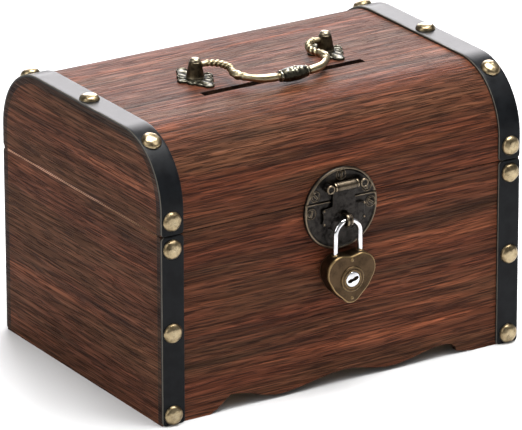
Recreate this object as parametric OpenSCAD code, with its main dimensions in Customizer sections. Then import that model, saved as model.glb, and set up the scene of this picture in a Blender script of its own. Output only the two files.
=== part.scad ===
// Small wooden money box: a plywood box with a bent lid, black edge bands,
// dome nails, a carrying bail, a hasp and staple, and a heart-shaped padlock.
// Millimetres. X runs left to right, -Y is the front, +Z is up.

/* [Box] */
// Overall width across the end boards
box_w = 200; // [150:1:280]
// Overall depth over the front and back edge bands
box_d = 146; // [110:1:200]
// Overall height to the top of the lid bands
box_h = 139; // [128:1:190]
// Height of the parting line between base and lid
split_z = 94; // [80:1:96]
// Outer radius of the lid's front and back shoulders
shoulder_r = 33.4; // [20:0.1:34]
// Gap along the parting line
parting_gap = 0.4; // [0.3:0.1:1]

/* [Wood] */
// Thickness of the two end boards
end_t = 7; // [5:0.5:12]
// Thickness of the front and back boards and of the bent lid
skin_t = 3.2; // [2.4:0.2:5]
// Thickness of the bottom board
bottom_t = 4; // [3:0.5:8]
// Height of the bottom board's underside above the floor
bottom_lift = 9; // [8:1:20]
// Thickness of the four inner rails that take the screws
rail_t = 8; // [6:0.5:12]
// Height of the rails in the base
base_rail_h = 14; // [10:1:20]
// Height of the rails in the lid
lid_rail_h = 11; // [8:0.5:11]
// Highest point of the wavy cut under the front board
apron_rise = 7.4; // [3:0.2:8]
// Height of the low points between the waves
apron_dip = 2; // [1:0.2:3]
// Half width of the wavy cut
apron_half = 74; // [60:1:74]

/* [Coin slot] */
// Length of the coin slot
slot_len = 90; // [40:1:110]
// Width of the coin slot
slot_w = 4.6; // [4.4:0.1:8]
// Distance of the slot's middle in front of the handle's pivot line
slot_forward = 20; // [18:0.2:26]

/* [Edge bands and dome nails] */
// Width of the edge bands
band_w = 12; // [9:0.5:18]
// Thickness of the edge bands
band_t = 1.2; // [0.6:0.2:2]
// Diameter of a dome nail's head
nail_d = 9.8; // [6:0.2:10]
// Height of a dome nail's head
nail_h = 2.6; // [1.5:0.1:3]
// Diameter of a dome nail's shank
nail_shank_d = 1.6; // [1.2:0.1:2.4]
// Length of a dome nail's shank
nail_len = 11; // [8:0.5:14]
// Distance of the nails from the box's end faces
nail_edge = 5.6; // [4:0.1:6]

/* [Handle] */
// Distance between the two handle posts
post_gap = 73; // [60:1:100]
// Height of a post above the lid
post_h = 10.8; // [10:0.2:16]
// Radius of a post at its foot
post_foot_r = 4.3; // [3.6:0.1:5]
// Radius of a post at its top
post_top_r = 2.9; // [2.7:0.1:3.4]
// Height of the bail's pivot line above the lid
pivot_h = 6.7; // [6.4:0.1:7.2]
// Radius of the bail's pivot pins
bail_pin_r = 1.3; // [1:0.1:1.5]
// Distance from the pivot line to the middle of the grip
bail_reach = 29; // [26:0.5:40]
// Radius of the bail's arms
bail_r = 1.9; // [1.4:0.1:2.2]
// Largest radius of the grip
grip_r = 3.9; // [3.2:0.1:4.2]
// Length of the grip
grip_len = 16; // [10:1:18]
// Thickness of the rosette plates under the posts
rosette_t = 1.2; // [0.8:0.2:2]

/* [Hinges] */
// Distance between the middles of the two hinges
hinge_gap = 110; // [80:1:130]
// Width of a hinge
hinge_w = 30; // [24:1:40]
// Height of each hinge leaf
leaf_h = 17; // [14:1:18]
// Thickness of a hinge leaf
leaf_t = 1; // [0.8:0.1:1.4]
// Outer radius of a hinge knuckle
knuckle_r = 2.6; // [2.2:0.1:3.2]
// Radius of a hinge pin
hinge_pin_r = 1.1; // [0.8:0.1:1.4]
// Sideways gap between neighbouring knuckles
knuckle_gap = 0.4; // [0.3:0.1:0.8]

/* [Latch] */
// Sideways place of the round latch plates
latch_x = -2; // [-4:0.5:4]
// Sideways place of the hasp, the staple and the padlock
hasp_x = -1; // [-2:0.5:2]
// Diameter of the round latch plates
latch_d = 40.3; // [38:0.1:44]
// Height of the middle of the latch plates below the parting line
latch_drop = 4.8; // [3:0.1:6]
// Thickness of the latch plates
latch_t = 1.2; // [0.8:0.1:2]
// Height of the raised rim on the latch plates
rim_h = 0.7; // [0.4:0.1:1.2]
// Width of the raised rim
rim_w = 1.4; // [0.8:0.1:2.4]
// Radius of the hasp's barrel
barrel_r = 2.3; // [2:0.1:2.8]
// Length of the hasp's barrel
barrel_len = 13.2; // [10:0.2:16]
// Radius of the hasp's pin
hasp_pin_r = 1; // [0.8:0.1:1.2]
// Radius of the two round posts that hold the hasp's pin
ear_r = 2.3; // [1.8:0.1:2.6]
// Height of the hasp's barrel above the parting line
barrel_rise = 7; // [5:0.1:7.4]
// Thickness of the hasp's strap
strap_t = 1.2; // [1:0.1:1.8]
// Width of the hasp's strap
strap_w = 12.4; // [10:0.2:13]
// Width of the hasp's crossbar
crossbar_w = 24; // [16:0.2:26]
// Thickness of the staple
staple_t = 3.2; // [2.4:0.1:3.6]
// Wall around the staple's eye
staple_wall = 1.6; // [1.2:0.1:2]
// Radius of the staple's eye
eye_r = 1.9; // [1.8:0.1:2.2]
// Depth of the eye below the parting line
eye_drop = 9.7; // [9:0.1:11]

/* [Padlock] */
// Width of the padlock's case
case_w = 26.8; // [22:0.1:30]
// Height of the padlock's case
case_h = 24.5; // [20:0.5:28]
// Thickness of the padlock's case
case_t = 8; // [6.4:0.2:8.8]
// Depth of the case's top below the eye
case_drop = 16; // [14:0.5:20]
// Radius of the shackle's bar
shackle_r = 1.25; // [1:0.05:1.4]
// Distance between the shackle's legs
leg_gap = 13.6; // [11:0.2:15]
// Depth of the long leg in the case
long_leg = 13; // [10:0.5:14]
// Depth of the short leg in the case
short_leg = 4.4; // [3:0.2:5]
// Radius of the lock plug
plug_r = 3.8; // [3:0.1:4.4]
// Outer radius of the ring around the plug
ring_r = 6.4; // [5.4:0.1:7]
// Tilt of the keyway
key_tilt = 16; // [0:1:30]

/* [Hidden] */
$fn = 64;

// Clearances and small allowances
fit = 0.05;
run_gap = 0.4;
cut = 1;
far = 400;

// Planes of the wood
wood_y = box_d / 2 - band_t;
wood_top = box_h - band_t;
inner_y = wood_y - skin_t;
inner_x = box_w / 2 - end_t;
base_top = split_z - parting_gap / 2;
lid_bottom = split_z + parting_gap / 2;
skin_under = wood_top - skin_t;
nail_x = box_w / 2 - nail_edge;
slot_y = -slot_forward;

// Hinge line at the back
hinge_y = wood_y + knuckle_r + run_gap;

// Latch planes, as distances in front of the box's middle
plate_y = wood_y + latch_t;
strap_back_y = plate_y + run_gap;
strap_front_y = strap_back_y + strap_t;
barrel_y = plate_y + run_gap + barrel_r;
barrel_z = split_z + barrel_rise;
latch_z = split_z - latch_drop;
eye_z = split_z - eye_drop;
ear_x = barrel_len / 2 + run_gap + ear_r;
nose_r = eye_r + staple_wall;
// The shackle hangs far enough forward for the hasp to rise behind it
hang_gap = 1.75;
eye_y = strap_front_y + hang_gap + shackle_r;
strap_tip_z = eye_z - nose_r - 2.8;
strap_slot_w = staple_t + 1.2;

// Padlock
case_top = eye_z - case_drop;
case_bottom = case_top - case_h;
plug_z = case_top - case_h * 0.5;
lobe_r = case_w * 0.31;
tip_r = case_w * 0.2;
waist_r = case_w * 0.33;
waist_x = case_w * 0.092;
case_front_y = eye_y + case_t / 2;
ring_h = 0.9;
plug_proud = 1.3;

// Handle
post_x = post_gap / 2;
pivot_z = wood_top + pivot_h;
stud_r = 1.5;
washer_t = 0.8;
nut_h = 2.4;
grip_clear = 0.5;
grip_gap = 0.15;
bail_droop = asin((pivot_h - grip_r - grip_clear) / bail_reach);

// The box stands with the middle of its overall depth over the origin
front_reach = case_front_y + plug_proud;
back_reach = max(hinge_y + knuckle_r, box_d / 2 + nail_h);
centre_y = (front_reach - back_reach) / 2;

// Dome nails: heights on the base and angles round the lid
base_nail_z = [5, (split_z - 2) / 2, split_z - 6.5];
lid_nail_low = 7.2;
shoulder_nail = 61.6;
nail_ball_r = (pow(nail_d / 2, 2) + pow(nail_h, 2)) / (2 * nail_h);

// Screws
screw_head_r = 1.9;
screw_head_h = 0.8;
screw_r = 0.9;
screw_len = 8;
latch_screw_r = latch_d / 2 - rim_w - screw_head_r - 0.3;
latch_screw_turn = 30;
leaf_screw_x = hinge_w / 2 - 5;
leaf_screw_drop = leaf_h - 5;

// Colours
wood_red = [0.36, 0.19, 0.14];
wood_end = [0.32, 0.20, 0.15];
wood_bare = [0.55, 0.38, 0.28];
band_black = [0.13, 0.13, 0.14];
old_brass = [0.62, 0.52, 0.34];
dark_bronze = [0.20, 0.19, 0.17];
pewter = [0.55, 0.55, 0.52];
nickel = [0.85, 0.85, 0.86];
lock_brass = [0.42, 0.35, 0.22];

// ---- Shared shapes ----

// Moves the box so that its overall depth is centred on the origin
module placed() {
    translate([0, centre_y, 0]) children();
}

module both_sides(x) {
    for (side = [-1, 1]) translate([side * x, 0, 0]) children();
}

// A block from one corner to the opposite one
module block(low, high) {
    translate(low) cube(high - low);
}

// A round bar along X
module bar_x(r, x0, x1) {
    translate([x0, 0, 0]) rotate([0, 90, 0]) cylinder(r = r, h = x1 - x0);
}

// Points +Z children towards the front
module face_front(x, y, z) {
    translate([x, -y, z]) rotate([90, 0, 0]) children();
}

// Points +Z children towards the back
module face_back(x, y, z) {
    translate([x, y, z]) rotate([-90, 0, 0]) children();
}

// Stands an outline drawn in Y and Z up between two X positions
module stand(x0, x1) {
    translate([x0, 0, 0]) rotate([90, 0, 90]) linear_extrude(x1 - x0) children();
}

// The lid's outline in Y and Z, drawn inside the band's outer face
module lid_outline(inset) {
    corner_y = box_d / 2 - shoulder_r;
    corner_z = box_h - shoulder_r;
    half = box_d / 2 - inset;
    translate([-half, lid_bottom]) square([2 * half, corner_z - lid_bottom]);
    translate([-corner_y, lid_bottom]) square([2 * corner_y, box_h - inset - lid_bottom]);
    for (side = [-1, 1]) intersection() {
        translate([side * corner_y, corner_z]) circle(r = shoulder_r - inset, $fn = 96);
        translate([-far, corner_z]) square([2 * far, far]);
    }
}

// A shell of the lid between two insets
module lid_shell(x0, x1, outer_inset, inner_inset) {
    stand(x0, x1) difference() {
        lid_outline(outer_inset);
        lid_outline(inner_inset);
        translate([0, -cut]) lid_outline(inner_inset);
    }
}

// ---- Dome nails ----

module nail_head(sink) {
    intersection() {
        translate([0, 0, nail_h - nail_ball_r]) sphere(r = nail_ball_r);
        translate([0, 0, -sink]) cylinder(d = nail_d, h = nail_h + sink + cut);
    }
}

module nail_shank(extra) {
    translate([0, 0, -nail_len - extra]) cylinder(d = nail_shank_d + 2 * extra, h = nail_len + extra + 0.3);
}

module nail() {
    nail_head(0);
    nail_shank(0);
}

// Places children on the lid band: at the low front and back nails
module at_low_lid_nails() {
    face_front(0, box_d / 2, split_z + lid_nail_low) children();
    face_back(0, box_d / 2, split_z + lid_nail_low) children();
}

// Places children on the two shoulders of the lid band
module at_shoulder_nails() {
    for (side = [-1, 1])
        translate([0, side * (box_d / 2 - shoulder_r), box_h - shoulder_r])
            rotate([side * (shoulder_nail - 90), 0, 0])
                translate([0, 0, shoulder_r]) children();
}

module at_top_nail() {
    translate([0, 0, box_h]) children();
}

module lid_nail_holes() {
    both_sides(nail_x) {
        at_low_lid_nails() nail_shank(fit);
        at_shoulder_nails() nail_shank(fit);
        at_top_nail() nail_shank(fit);
    }
}

module at_base_nails(side) {
    for (z = base_nail_z)
        if (side < 0) face_front(0, box_d / 2, z) children();
        else face_back(0, box_d / 2, z) children();
}

module base_nail_holes() {
    both_sides(nail_x) for (side = [-1, 1]) at_base_nails(side) nail_shank(fit);
}

// Five nails on one lid band
module lid_nails(x) {
    translate([x, 0, 0]) {
        at_low_lid_nails() nail();
        at_top_nail() nail();
        difference() {
            at_shoulder_nails() nail_head(0.6);
            lid_shell(-far, far, 0, band_t);
        }
        at_shoulder_nails() nail_shank(0);
    }
}

// ---- Screws ----

module screw(len) {
    intersection() {
        translate([0, 0, screw_head_h - 3]) sphere(r = 3);
        cylinder(r = screw_head_r, h = screw_head_h);
    }
    translate([0, 0, -len]) cylinder(r = screw_r, h = len + 0.2);
}

module screw_hole(len) {
    translate([0, 0, -len - cut]) cylinder(r = screw_r + fit, h = len + 2 * cut);
}

// A screw's place on the latch plates, at an angle above the plates' middle line
module at_latch_screw(turn) {
    face_front(latch_x + latch_screw_r * cos(turn), plate_y, latch_z + latch_screw_r * sin(turn)) children();
}

module at_upper_latch_screws() {
    at_latch_screw(latch_screw_turn) children();
    at_latch_screw(180 - latch_screw_turn) children();
}

module at_top_latch_screw() {
    at_latch_screw(90) children();
}

module at_lower_latch_screws() {
    at_latch_screw(0) children();
    at_latch_screw(180) children();
}

module at_leaf_screws(up) {
    both_sides(hinge_gap / 2) both_sides(leaf_screw_x)
        face_back(0, wood_y + leaf_t, split_z + up * leaf_screw_drop) children();
}

// ---- Base boards ----

// Knots of the wavy cut from left to right: place as a share of its half width,
// height, and the kind of curve that follows
apron_knots = [
    [-1, 0, 0], [-0.945, apron_rise * 0.23, 1], [-0.84, apron_rise * 1.05, 0], [-0.47, apron_dip, 0],
    [0.02, apron_rise * 0.85, 0], [0.38, apron_dip * 1.15, 0], [0.79, apron_rise * 0.88, 2],
    [0.885, apron_rise * 0.23, 1], [1, 0, 0]
];

// How far along a rise or fall the cut has come: eased, straight, or round and then steep
function apron_share(kind, t) = kind == 0 ? (1 - cos(180 * t)) / 2 : kind == 1 ? t : 1 - sqrt(1 - t * t);

function apron_point(a, b, t) = [
    apron_half * (a[0] + (b[0] - a[0]) * t),
    a[1] + (b[1] - a[1]) * apron_share(a[2], t)
];

module base_front_board() color(wood_red) placed() {
    steps = 9;
    edge = [for (i = [0 : len(apron_knots) - 2], k = [0 : steps - 1])
        apron_point(apron_knots[i], apron_knots[i + 1], k / steps)];
    outline = concat([[-box_w / 2, 0]], edge, [[apron_half, 0], [box_w / 2, 0],
        [box_w / 2, base_top], [-box_w / 2, base_top]]);
    difference() {
        face_front(0, inner_y, 0) linear_extrude(skin_t) polygon(outline);
        base_nail_holes();
        at_lower_latch_screws() screw_hole(screw_len);
        face_front(hasp_x, plate_y, eye_z) screw_hole_for_tail();
    }
}

module screw_hole_for_tail() {
    translate([0, 0, -far]) cylinder(r = stud_r + fit, h = far + cut);
}

module base_back_board() color(wood_red) placed() {
    difference() {
        block([-box_w / 2, inner_y, 0], [box_w / 2, wood_y, base_top]);
        base_nail_holes();
        at_leaf_screws(-1) screw_hole(screw_len);
    }
}

module base_end(x0) {
    difference() {
        block([x0, -inner_y, 0], [x0 + end_t, inner_y, base_top]);
        base_nail_holes();
    }
}

module base_left_end() color(wood_end) placed() base_end(-box_w / 2);

module base_right_end() color(wood_end) placed() base_end(inner_x);

module base_bottom_board() color(wood_bare) placed()
    block([-inner_x, -inner_y, bottom_lift], [inner_x, inner_y, bottom_lift + bottom_t]);

module base_front_rail() color(wood_bare) placed() {
    difference() {
        block([-inner_x, -inner_y, base_top - base_rail_h], [inner_x, -inner_y + rail_t, base_top]);
        at_lower_latch_screws() screw_hole(screw_len);
        face_front(hasp_x, plate_y, eye_z) screw_hole_for_tail();
    }
}

module base_back_rail() color(wood_bare) placed() {
    difference() {
        block([-inner_x, inner_y - rail_t, base_top - base_rail_h], [inner_x, inner_y, base_top]);
        at_leaf_screws(-1) screw_hole(screw_len);
    }
}

// ---- Base bands and nails ----

module base_band(side_x, side_y) {
    x0 = side_x < 0 ? -box_w / 2 : box_w / 2 - band_w;
    y0 = side_y < 0 ? -box_d / 2 : wood_y;
    difference() {
        block([x0, y0, 0], [x0 + band_w, y0 + band_t, base_top]);
        base_nail_holes();
    }
}

module base_band_front_left() color(band_black) placed() base_band(-1, -1);

module base_band_front_right() color(band_black) placed() base_band(1, -1);

module base_band_back_left() color(band_black) placed() base_band(-1, 1);

module base_band_back_right() color(band_black) placed() base_band(1, 1);

module base_nails_front() color(old_brass) placed() both_sides(nail_x) at_base_nails(-1) nail();

module base_nails_back() color(old_brass) placed() both_sides(nail_x) at_base_nails(1) nail();

// ---- Lid boards ----

module lid_end(x0) {
    difference() {
        stand(x0, x0 + end_t) lid_outline(band_t + skin_t);
        lid_nail_holes();
    }
}

module lid_left_end() color(wood_end) placed() lid_end(-box_w / 2);

module lid_right_end() color(wood_end) placed() lid_end(inner_x);

module coin_slot() {
    block([-slot_len / 2, slot_y - slot_w / 2, skin_under - cut],
        [slot_len / 2, slot_y + slot_w / 2, wood_top + cut]);
}

module lid_skin() color(wood_red) placed() {
    difference() {
        lid_shell(-box_w / 2, box_w / 2, band_t, band_t + skin_t);
        coin_slot();
        lid_nail_holes();
        both_sides(post_x) translate([0, 0, skin_under - cut])
            cylinder(r = stud_r + fit, h = skin_t + 2 * cut);
        at_upper_latch_screws() screw_hole(screw_len);
        at_top_latch_screw() screw_hole(screw_len);
        at_leaf_screws(1) screw_hole(screw_len);
    }
}

module lid_front_rail() color(wood_bare) placed() {
    difference() {
        block([-inner_x, -inner_y, lid_bottom], [inner_x, -inner_y + rail_t, lid_bottom + lid_rail_h]);
        at_upper_latch_screws() screw_hole(screw_len);
    }
}

module lid_back_rail() color(wood_bare) placed() {
    difference() {
        block([-inner_x, inner_y - rail_t, lid_bottom], [inner_x, inner_y, lid_bottom + lid_rail_h]);
        at_leaf_screws(1) screw_hole(screw_len);
    }
}

// ---- Lid bands and nails ----

module lid_band(x0) {
    difference() {
        lid_shell(x0, x0 + band_w, 0, band_t);
        lid_nail_holes();
    }
}

module lid_band_left() color(band_black) placed() lid_band(-box_w / 2);

module lid_band_right() color(band_black) placed() lid_band(box_w / 2 - band_w);

module lid_nails_left() color(old_brass) placed() lid_nails(-nail_x);

module lid_nails_right() color(old_brass) placed() lid_nails(nail_x);

// ---- Latch plates, staple and hasp ----

// One half of the round plate, with its raised rim, between two heights
module latch_plate(z0, z1) {
    intersection() {
        face_front(latch_x, wood_y, latch_z) difference() {
            cylinder(d = latch_d, h = latch_t + rim_h);
            translate([0, 0, latch_t]) cylinder(d = latch_d - 2 * rim_w, h = rim_h + cut);
        }
        block([-far, -far, z0], [far, far, z1]);
    }
}

module latch_lower_plate() color(dark_bronze) placed() {
    difference() {
        latch_plate(0, base_top);
        at_lower_latch_screws() screw_hole(screw_len);
        face_front(hasp_x, plate_y, eye_z) screw_hole_for_tail();
    }
}

// A flat lug with a round nose, an eye across it and a tail through the board
module latch_staple() color(dark_bronze) placed() {
    tail = latch_t + skin_t + rail_t - cut;
    difference() {
        union() {
            translate([0, -eye_y, eye_z]) bar_x(nose_r, hasp_x - staple_t / 2, hasp_x + staple_t / 2);
            block([hasp_x - staple_t / 2, -eye_y, eye_z - nose_r + 0.5],
                [hasp_x + staple_t / 2, -plate_y, eye_z + nose_r - 0.5]);
            face_front(hasp_x, plate_y + cut - tail - cut, eye_z) cylinder(r = stud_r, h = tail + 0.5);
        }
        translate([0, -eye_y, eye_z]) bar_x(eye_r, hasp_x - staple_t, hasp_x + staple_t);
    }
}

module latch_lower_screws() color(dark_bronze) placed() at_lower_latch_screws() screw(screw_len);

// The round posts stand out of the upper plate beside the hasp's barrel
module latch_ears() {
    for (side = [-1, 1])
        face_front(hasp_x + side * ear_x, wood_y, barrel_z)
            cylinder(r = ear_r, h = barrel_y + barrel_r - wood_y);
}

module latch_upper_plate() color(dark_bronze) placed() {
    difference() {
        union() {
            latch_plate(lid_bottom, far);
            latch_ears();
        }
        at_upper_latch_screws() screw_hole(screw_len);
        at_top_latch_screw() screw_hole(screw_len);
        translate([0, -barrel_y, barrel_z]) bar_x(hasp_pin_r + fit, hasp_x - far, hasp_x + far);
    }
}

module latch_upper_screws() color(dark_bronze) placed() {
    at_upper_latch_screws() screw(screw_len);
    at_top_latch_screw() screw(latch_t + skin_t - 0.6);
}

module hasp_pin() color(dark_bronze) placed() {
    reach = ear_x + ear_r - 0.2;
    translate([hasp_x, -barrel_y, barrel_z]) bar_x(hasp_pin_r, -reach, reach);
}

// Half of the strap's outline, from its top edge down to its tip
strap_half = [
    [0, barrel_z], [strap_w / 2, barrel_z], [strap_w / 2, split_z - 2.4],
    [crossbar_w / 2, split_z - 3.4], [crossbar_w / 2, split_z - 11.6],
    [crossbar_w * 0.34, split_z - 13.6], [crossbar_w * 0.28, strap_tip_z + 1.4],
    [crossbar_w * 0.2, strap_tip_z], [0, strap_tip_z]
];

module hasp_strap() color(dark_bronze) placed() {
    left_half = [for (i = [len(strap_half) - 1 : -1 : 0]) [-strap_half[i][0], strap_half[i][1]]];
    difference() {
        union() {
            face_front(hasp_x, strap_back_y, 0) linear_extrude(strap_t)
                polygon(concat(strap_half, left_half));
            translate([hasp_x, -barrel_y, barrel_z]) bar_x(barrel_r, -barrel_len / 2, barrel_len / 2);
        }
        translate([hasp_x, -barrel_y, barrel_z]) bar_x(hasp_pin_r + fit, -far, far);
        block([hasp_x - strap_slot_w / 2, -far, 0], [hasp_x + strap_slot_w / 2, 0, eye_z + nose_r + 0.4]);
    }
}

// ---- Hinges ----

// A hinge leaf and its knuckles, with the pin line at the origin; up is 1 for the lid
module hinge_leaf(up) {
    third = hinge_w / 3;
    mine = third / 2 - (up > 0 ? knuckle_gap : 0);
    clear_r = knuckle_r + run_gap + 0.2;
    difference() {
        union() {
            block([-hinge_w / 2, -hinge_y + wood_y, up > 0 ? clear_r : -leaf_h],
                [hinge_w / 2, -hinge_y + wood_y + leaf_t, up > 0 ? leaf_h : -clear_r]);
            if (up > 0) {
                block([-mine, -hinge_y + wood_y, run_gap], [mine, -hinge_y + wood_y + leaf_t, clear_r + cut]);
                bar_x(knuckle_r, -mine, mine);
            } else {
                for (side = [-1, 1]) {
                    x0 = side > 0 ? mine : -hinge_w / 2;
                    block([x0, -hinge_y + wood_y, -clear_r - cut],
                        [x0 + third, -hinge_y + wood_y + leaf_t, -run_gap]);
                    bar_x(knuckle_r, x0, x0 + third);
                }
            }
        }
        bar_x(hinge_pin_r + fit, -hinge_w, hinge_w);
    }
}

module hinge_part(x, up) {
    difference() {
        translate([x, hinge_y, split_z]) hinge_leaf(up);
        at_leaf_screws(up) screw_hole(screw_len);
    }
}

module hinge_base_leaf_left() color(old_brass) placed() hinge_part(-hinge_gap / 2, -1);

module hinge_base_leaf_right() color(old_brass) placed() hinge_part(hinge_gap / 2, -1);

module hinge_lid_leaf_left() color(old_brass) placed() hinge_part(-hinge_gap / 2, 1);

module hinge_lid_leaf_right() color(old_brass) placed() hinge_part(hinge_gap / 2, 1);

module hinge_pin(x) {
    translate([x, hinge_y, split_z]) {
        bar_x(hinge_pin_r, -hinge_w / 2 - 0.3, hinge_w / 2 + 0.3);
        bar_x(knuckle_r - 0.6, -hinge_w / 2 - 0.9, -hinge_w / 2);
        bar_x(knuckle_r - 0.6, hinge_w / 2, hinge_w / 2 + 0.9);
    }
}

module hinge_pin_left() color(old_brass) placed() hinge_pin(-hinge_gap / 2);

module hinge_pin_right() color(old_brass) placed() hinge_pin(hinge_gap / 2);

module hinge_base_screws() color(old_brass) placed() at_leaf_screws(-1) screw(screw_len);

module hinge_lid_screws() color(old_brass) placed() at_leaf_screws(1) screw(screw_len);

// ---- Handle ----

// A scalloped diamond plate made of overlapping discs
module rosette(x) {
    translate([x, 0, wood_top]) difference() {
        union() {
            for (side = [-1, 1]) {
                translate([0, side * 12.2, 0]) cylinder(r = 2.8, h = rosette_t);
                translate([0, side * 8, 0]) cylinder(r = 4.6, h = rosette_t);
                translate([side * 6.4, 0, 0]) cylinder(r = 3.1, h = rosette_t);
                translate([side * 3.6, 4.6, 0]) cylinder(r = 3.4, h = rosette_t);
                translate([side * 3.6, -4.6, 0]) cylinder(r = 3.4, h = rosette_t);
            }
            cylinder(r = 6.2, h = rosette_t);
        }
        translate([0, 0, -cut]) cylinder(r = stud_r + fit, h = rosette_t + 2 * cut);
    }
}

module handle_rosette_left() color(pewter) placed() rosette(-post_x);

module handle_rosette_right() color(pewter) placed() rosette(post_x);

// A tapered post with a domed top, a cross bore and a stud through the lid
module post(x) {
    cone_h = post_h - post_top_r - rosette_t;
    stud_len = rosette_t + skin_t + washer_t + nut_h + 1;
    translate([x, 0, wood_top + rosette_t]) difference() {
        union() {
            cylinder(r1 = post_foot_r, r2 = post_top_r, h = cone_h);
            translate([0, 0, cone_h]) sphere(r = post_top_r);
            translate([0, 0, -stud_len]) cylinder(r = stud_r, h = stud_len + 0.5);
        }
        translate([0, 0, pivot_h - rosette_t]) bar_x(bail_pin_r + fit, -far, far);
    }
}

module handle_post_left() color(dark_bronze) placed() post(-post_x);

module handle_post_right() color(dark_bronze) placed() post(post_x);

module handle_washers() color(pewter) placed() {
    both_sides(post_x) translate([0, 0, skin_under - washer_t]) difference() {
        cylinder(r = 4.2, h = washer_t);
        translate([0, 0, -cut]) cylinder(r = stud_r + fit, h = washer_t + 2 * cut);
    }
}

module handle_nuts() color(pewter) placed() {
    both_sides(post_x) translate([0, 0, skin_under - washer_t - nut_h]) difference() {
        cylinder(r = 3.2, h = nut_h, $fn = 6);
        translate([0, 0, -cut]) cylinder(r = stud_r + fit, h = nut_h + 2 * cut);
    }
}

// The right half of the bail's route, from its pivot forward and round to the grip
bail_end_x = post_x - post_foot_r + 0.3;
bail_knots = [
    [bail_end_x, 0], [bail_end_x - 1.5, 0], [bail_end_x - 3.2, 0], [25.2, -2.8], [23, -9],
    [25, -16.2], [22.4, bail_reach * -0.77], [17, bail_reach * -0.93],
    [12, bail_reach * -0.99], [9, -bail_reach], [5, -bail_reach]
];
bail_route = concat(bail_knots, [for (i = [len(bail_knots) - 1 : -1 : 0])
    [-bail_knots[i][0], bail_knots[i][1]]]);

function blend(a, b, c, d, t) = 0.5 * (2 * b + (c - a) * t
    + (2 * a - 5 * b + 4 * c - d) * t * t + (3 * b - a - 3 * c + d) * t * t * t);

// A smooth curve through the route's points
function smooth(p, steps) = let (last = len(p) - 1) concat(
    [for (i = [0 : last - 1], s = [0 : steps - 1])
        blend(p[max(i - 1, 0)], p[i], p[i + 1], p[min(i + 2, last)], s / steps)], [p[last]]);

// A tube of one radius along a flat route
module flat_tube(p, r, sides) {
    last = len(p) - 1;
    points = [for (i = [0 : last], s = [0 : sides - 1])
        let (d = p[min(i + 1, last)] - p[max(i - 1, 0)], a = atan2(d[1], d[0]) - 90, u = 360 * s / sides)
        [p[i][0] + r * cos(u) * cos(a), p[i][1] + r * cos(u) * sin(a), r * sin(u)]];
    walls = [for (i = [0 : last - 1], s = [0 : sides - 1]) let (n = (s + 1) % sides)
        [i * sides + s, i * sides + n, (i + 1) * sides + n, (i + 1) * sides + s]];
    caps = [[for (s = [sides - 1 : -1 : 0]) s], [for (s = [0 : sides - 1]) last * sides + s]];
    polyhedron(points, concat(walls, caps), convexity = 6);
}

module at_bail() {
    translate([0, 0, pivot_z]) rotate([bail_droop, 0, 0]) children();
}

module bail_bow() color(old_brass) placed() at_bail() flat_tube(smooth(bail_route, 3), bail_r, 12);

// The pins run from the bow's ends through the posts
module bail_pins() color(old_brass) placed() at_bail() {
    reach = post_x + post_top_r;
    bar_x(bail_pin_r, bail_end_x, reach);
    bar_x(bail_pin_r, -reach, -bail_end_x);
}

module bail_grip() color(pewter) placed() at_bail() {
    end_r = grip_r - 0.8;
    bulge_r = (pow(grip_len / 2, 2) + pow(grip_r - end_r, 2)) / (2 * (grip_r - end_r));
    translate([0, -bail_reach, 0]) rotate([0, 90, 0]) difference() {
        rotate_extrude() intersection() {
            translate([grip_r - bulge_r, 0]) circle(r = bulge_r, $fn = 128);
            translate([0, -grip_len / 2]) square([grip_r, grip_len]);
        }
        translate([0, 0, -grip_len]) cylinder(r = bail_r + grip_gap, h = 2 * grip_len);
    }
}

// ---- Padlock ----

// A heart-like outline with its top at z = 0, drawn in X and Z
module case_outline(inset) {
    hull() {
        for (side = [-1, 1])
            translate([side * (case_w / 2 - lobe_r), -lobe_r]) circle(r = lobe_r - inset, $fn = 48);
        for (side = [-1, 1])
            translate([side * waist_x, -case_h * 0.49]) circle(r = waist_r - inset, $fn = 48);
        translate([0, -case_h + tip_r]) circle(r = tip_r - inset, $fn = 32);
    }
}

// A slice of the case between two distances in front of the box's middle
module case_slice(y0, y1, inset) {
    face_front(hasp_x, y0, case_top) linear_extrude(y1 - y0) case_outline(inset);
}

module leg_bores() {
    both_sides(leg_gap / 2) translate([hasp_x, -eye_y, 0]) {
        translate([0, 0, case_top - long_leg - 0.6]) cylinder(r = shackle_r + fit, h = far);
    }
}

module lock_back_shell() color(lock_brass) placed() {
    difference() {
        case_slice(eye_y - case_t / 2, eye_y, 0);
        leg_bores();
        face_front(hasp_x, eye_y - 1.8, plug_z) cylinder(r = plug_r + fit, h = 4);
    }
}

module lock_front_shell() color(lock_brass) placed() {
    difference() {
        case_slice(eye_y, case_front_y, 0);
        leg_bores();
        face_front(hasp_x, eye_y - cut, plug_z) cylinder(r = plug_r + fit, h = case_t);
        at_case_rivets() translate([0, 0, -1.6]) cylinder(r = 0.7 + fit, h = 3);
    }
}

module at_case_rivets() {
    face_front(hasp_x, case_front_y, case_top - 2.4) children();
    face_front(hasp_x, case_front_y, case_bottom + 2.8) children();
}

module lock_ring() color(lock_brass) placed() {
    face_front(hasp_x, case_front_y, plug_z) difference() {
        cylinder(r1 = ring_r, r2 = ring_r - 0.5, h = ring_h);
        translate([0, 0, -cut]) cylinder(r = plug_r + fit, h = ring_h + 2 * cut);
    }
}

module lock_rivets() color(lock_brass) placed() at_case_rivets() {
    intersection() {
        translate([0, 0, -0.7]) sphere(r = 1.3);
        cylinder(r = 1.3, h = 1);
    }
    translate([0, 0, -1.5]) cylinder(r = 0.7, h = 1.7);
}

module lock_plug() color(nickel) placed() {
    back = 1.6;
    face_front(hasp_x, eye_y - back, plug_z) difference() {
        cylinder(r = plug_r, h = back + case_t / 2 + plug_proud);
        translate([0, 0, back + case_t / 2 + plug_proud]) rotate([0, 0, key_tilt])
            cube([plug_r * 1.56, plug_r * 0.42, 7], center = true);
    }
}

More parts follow.
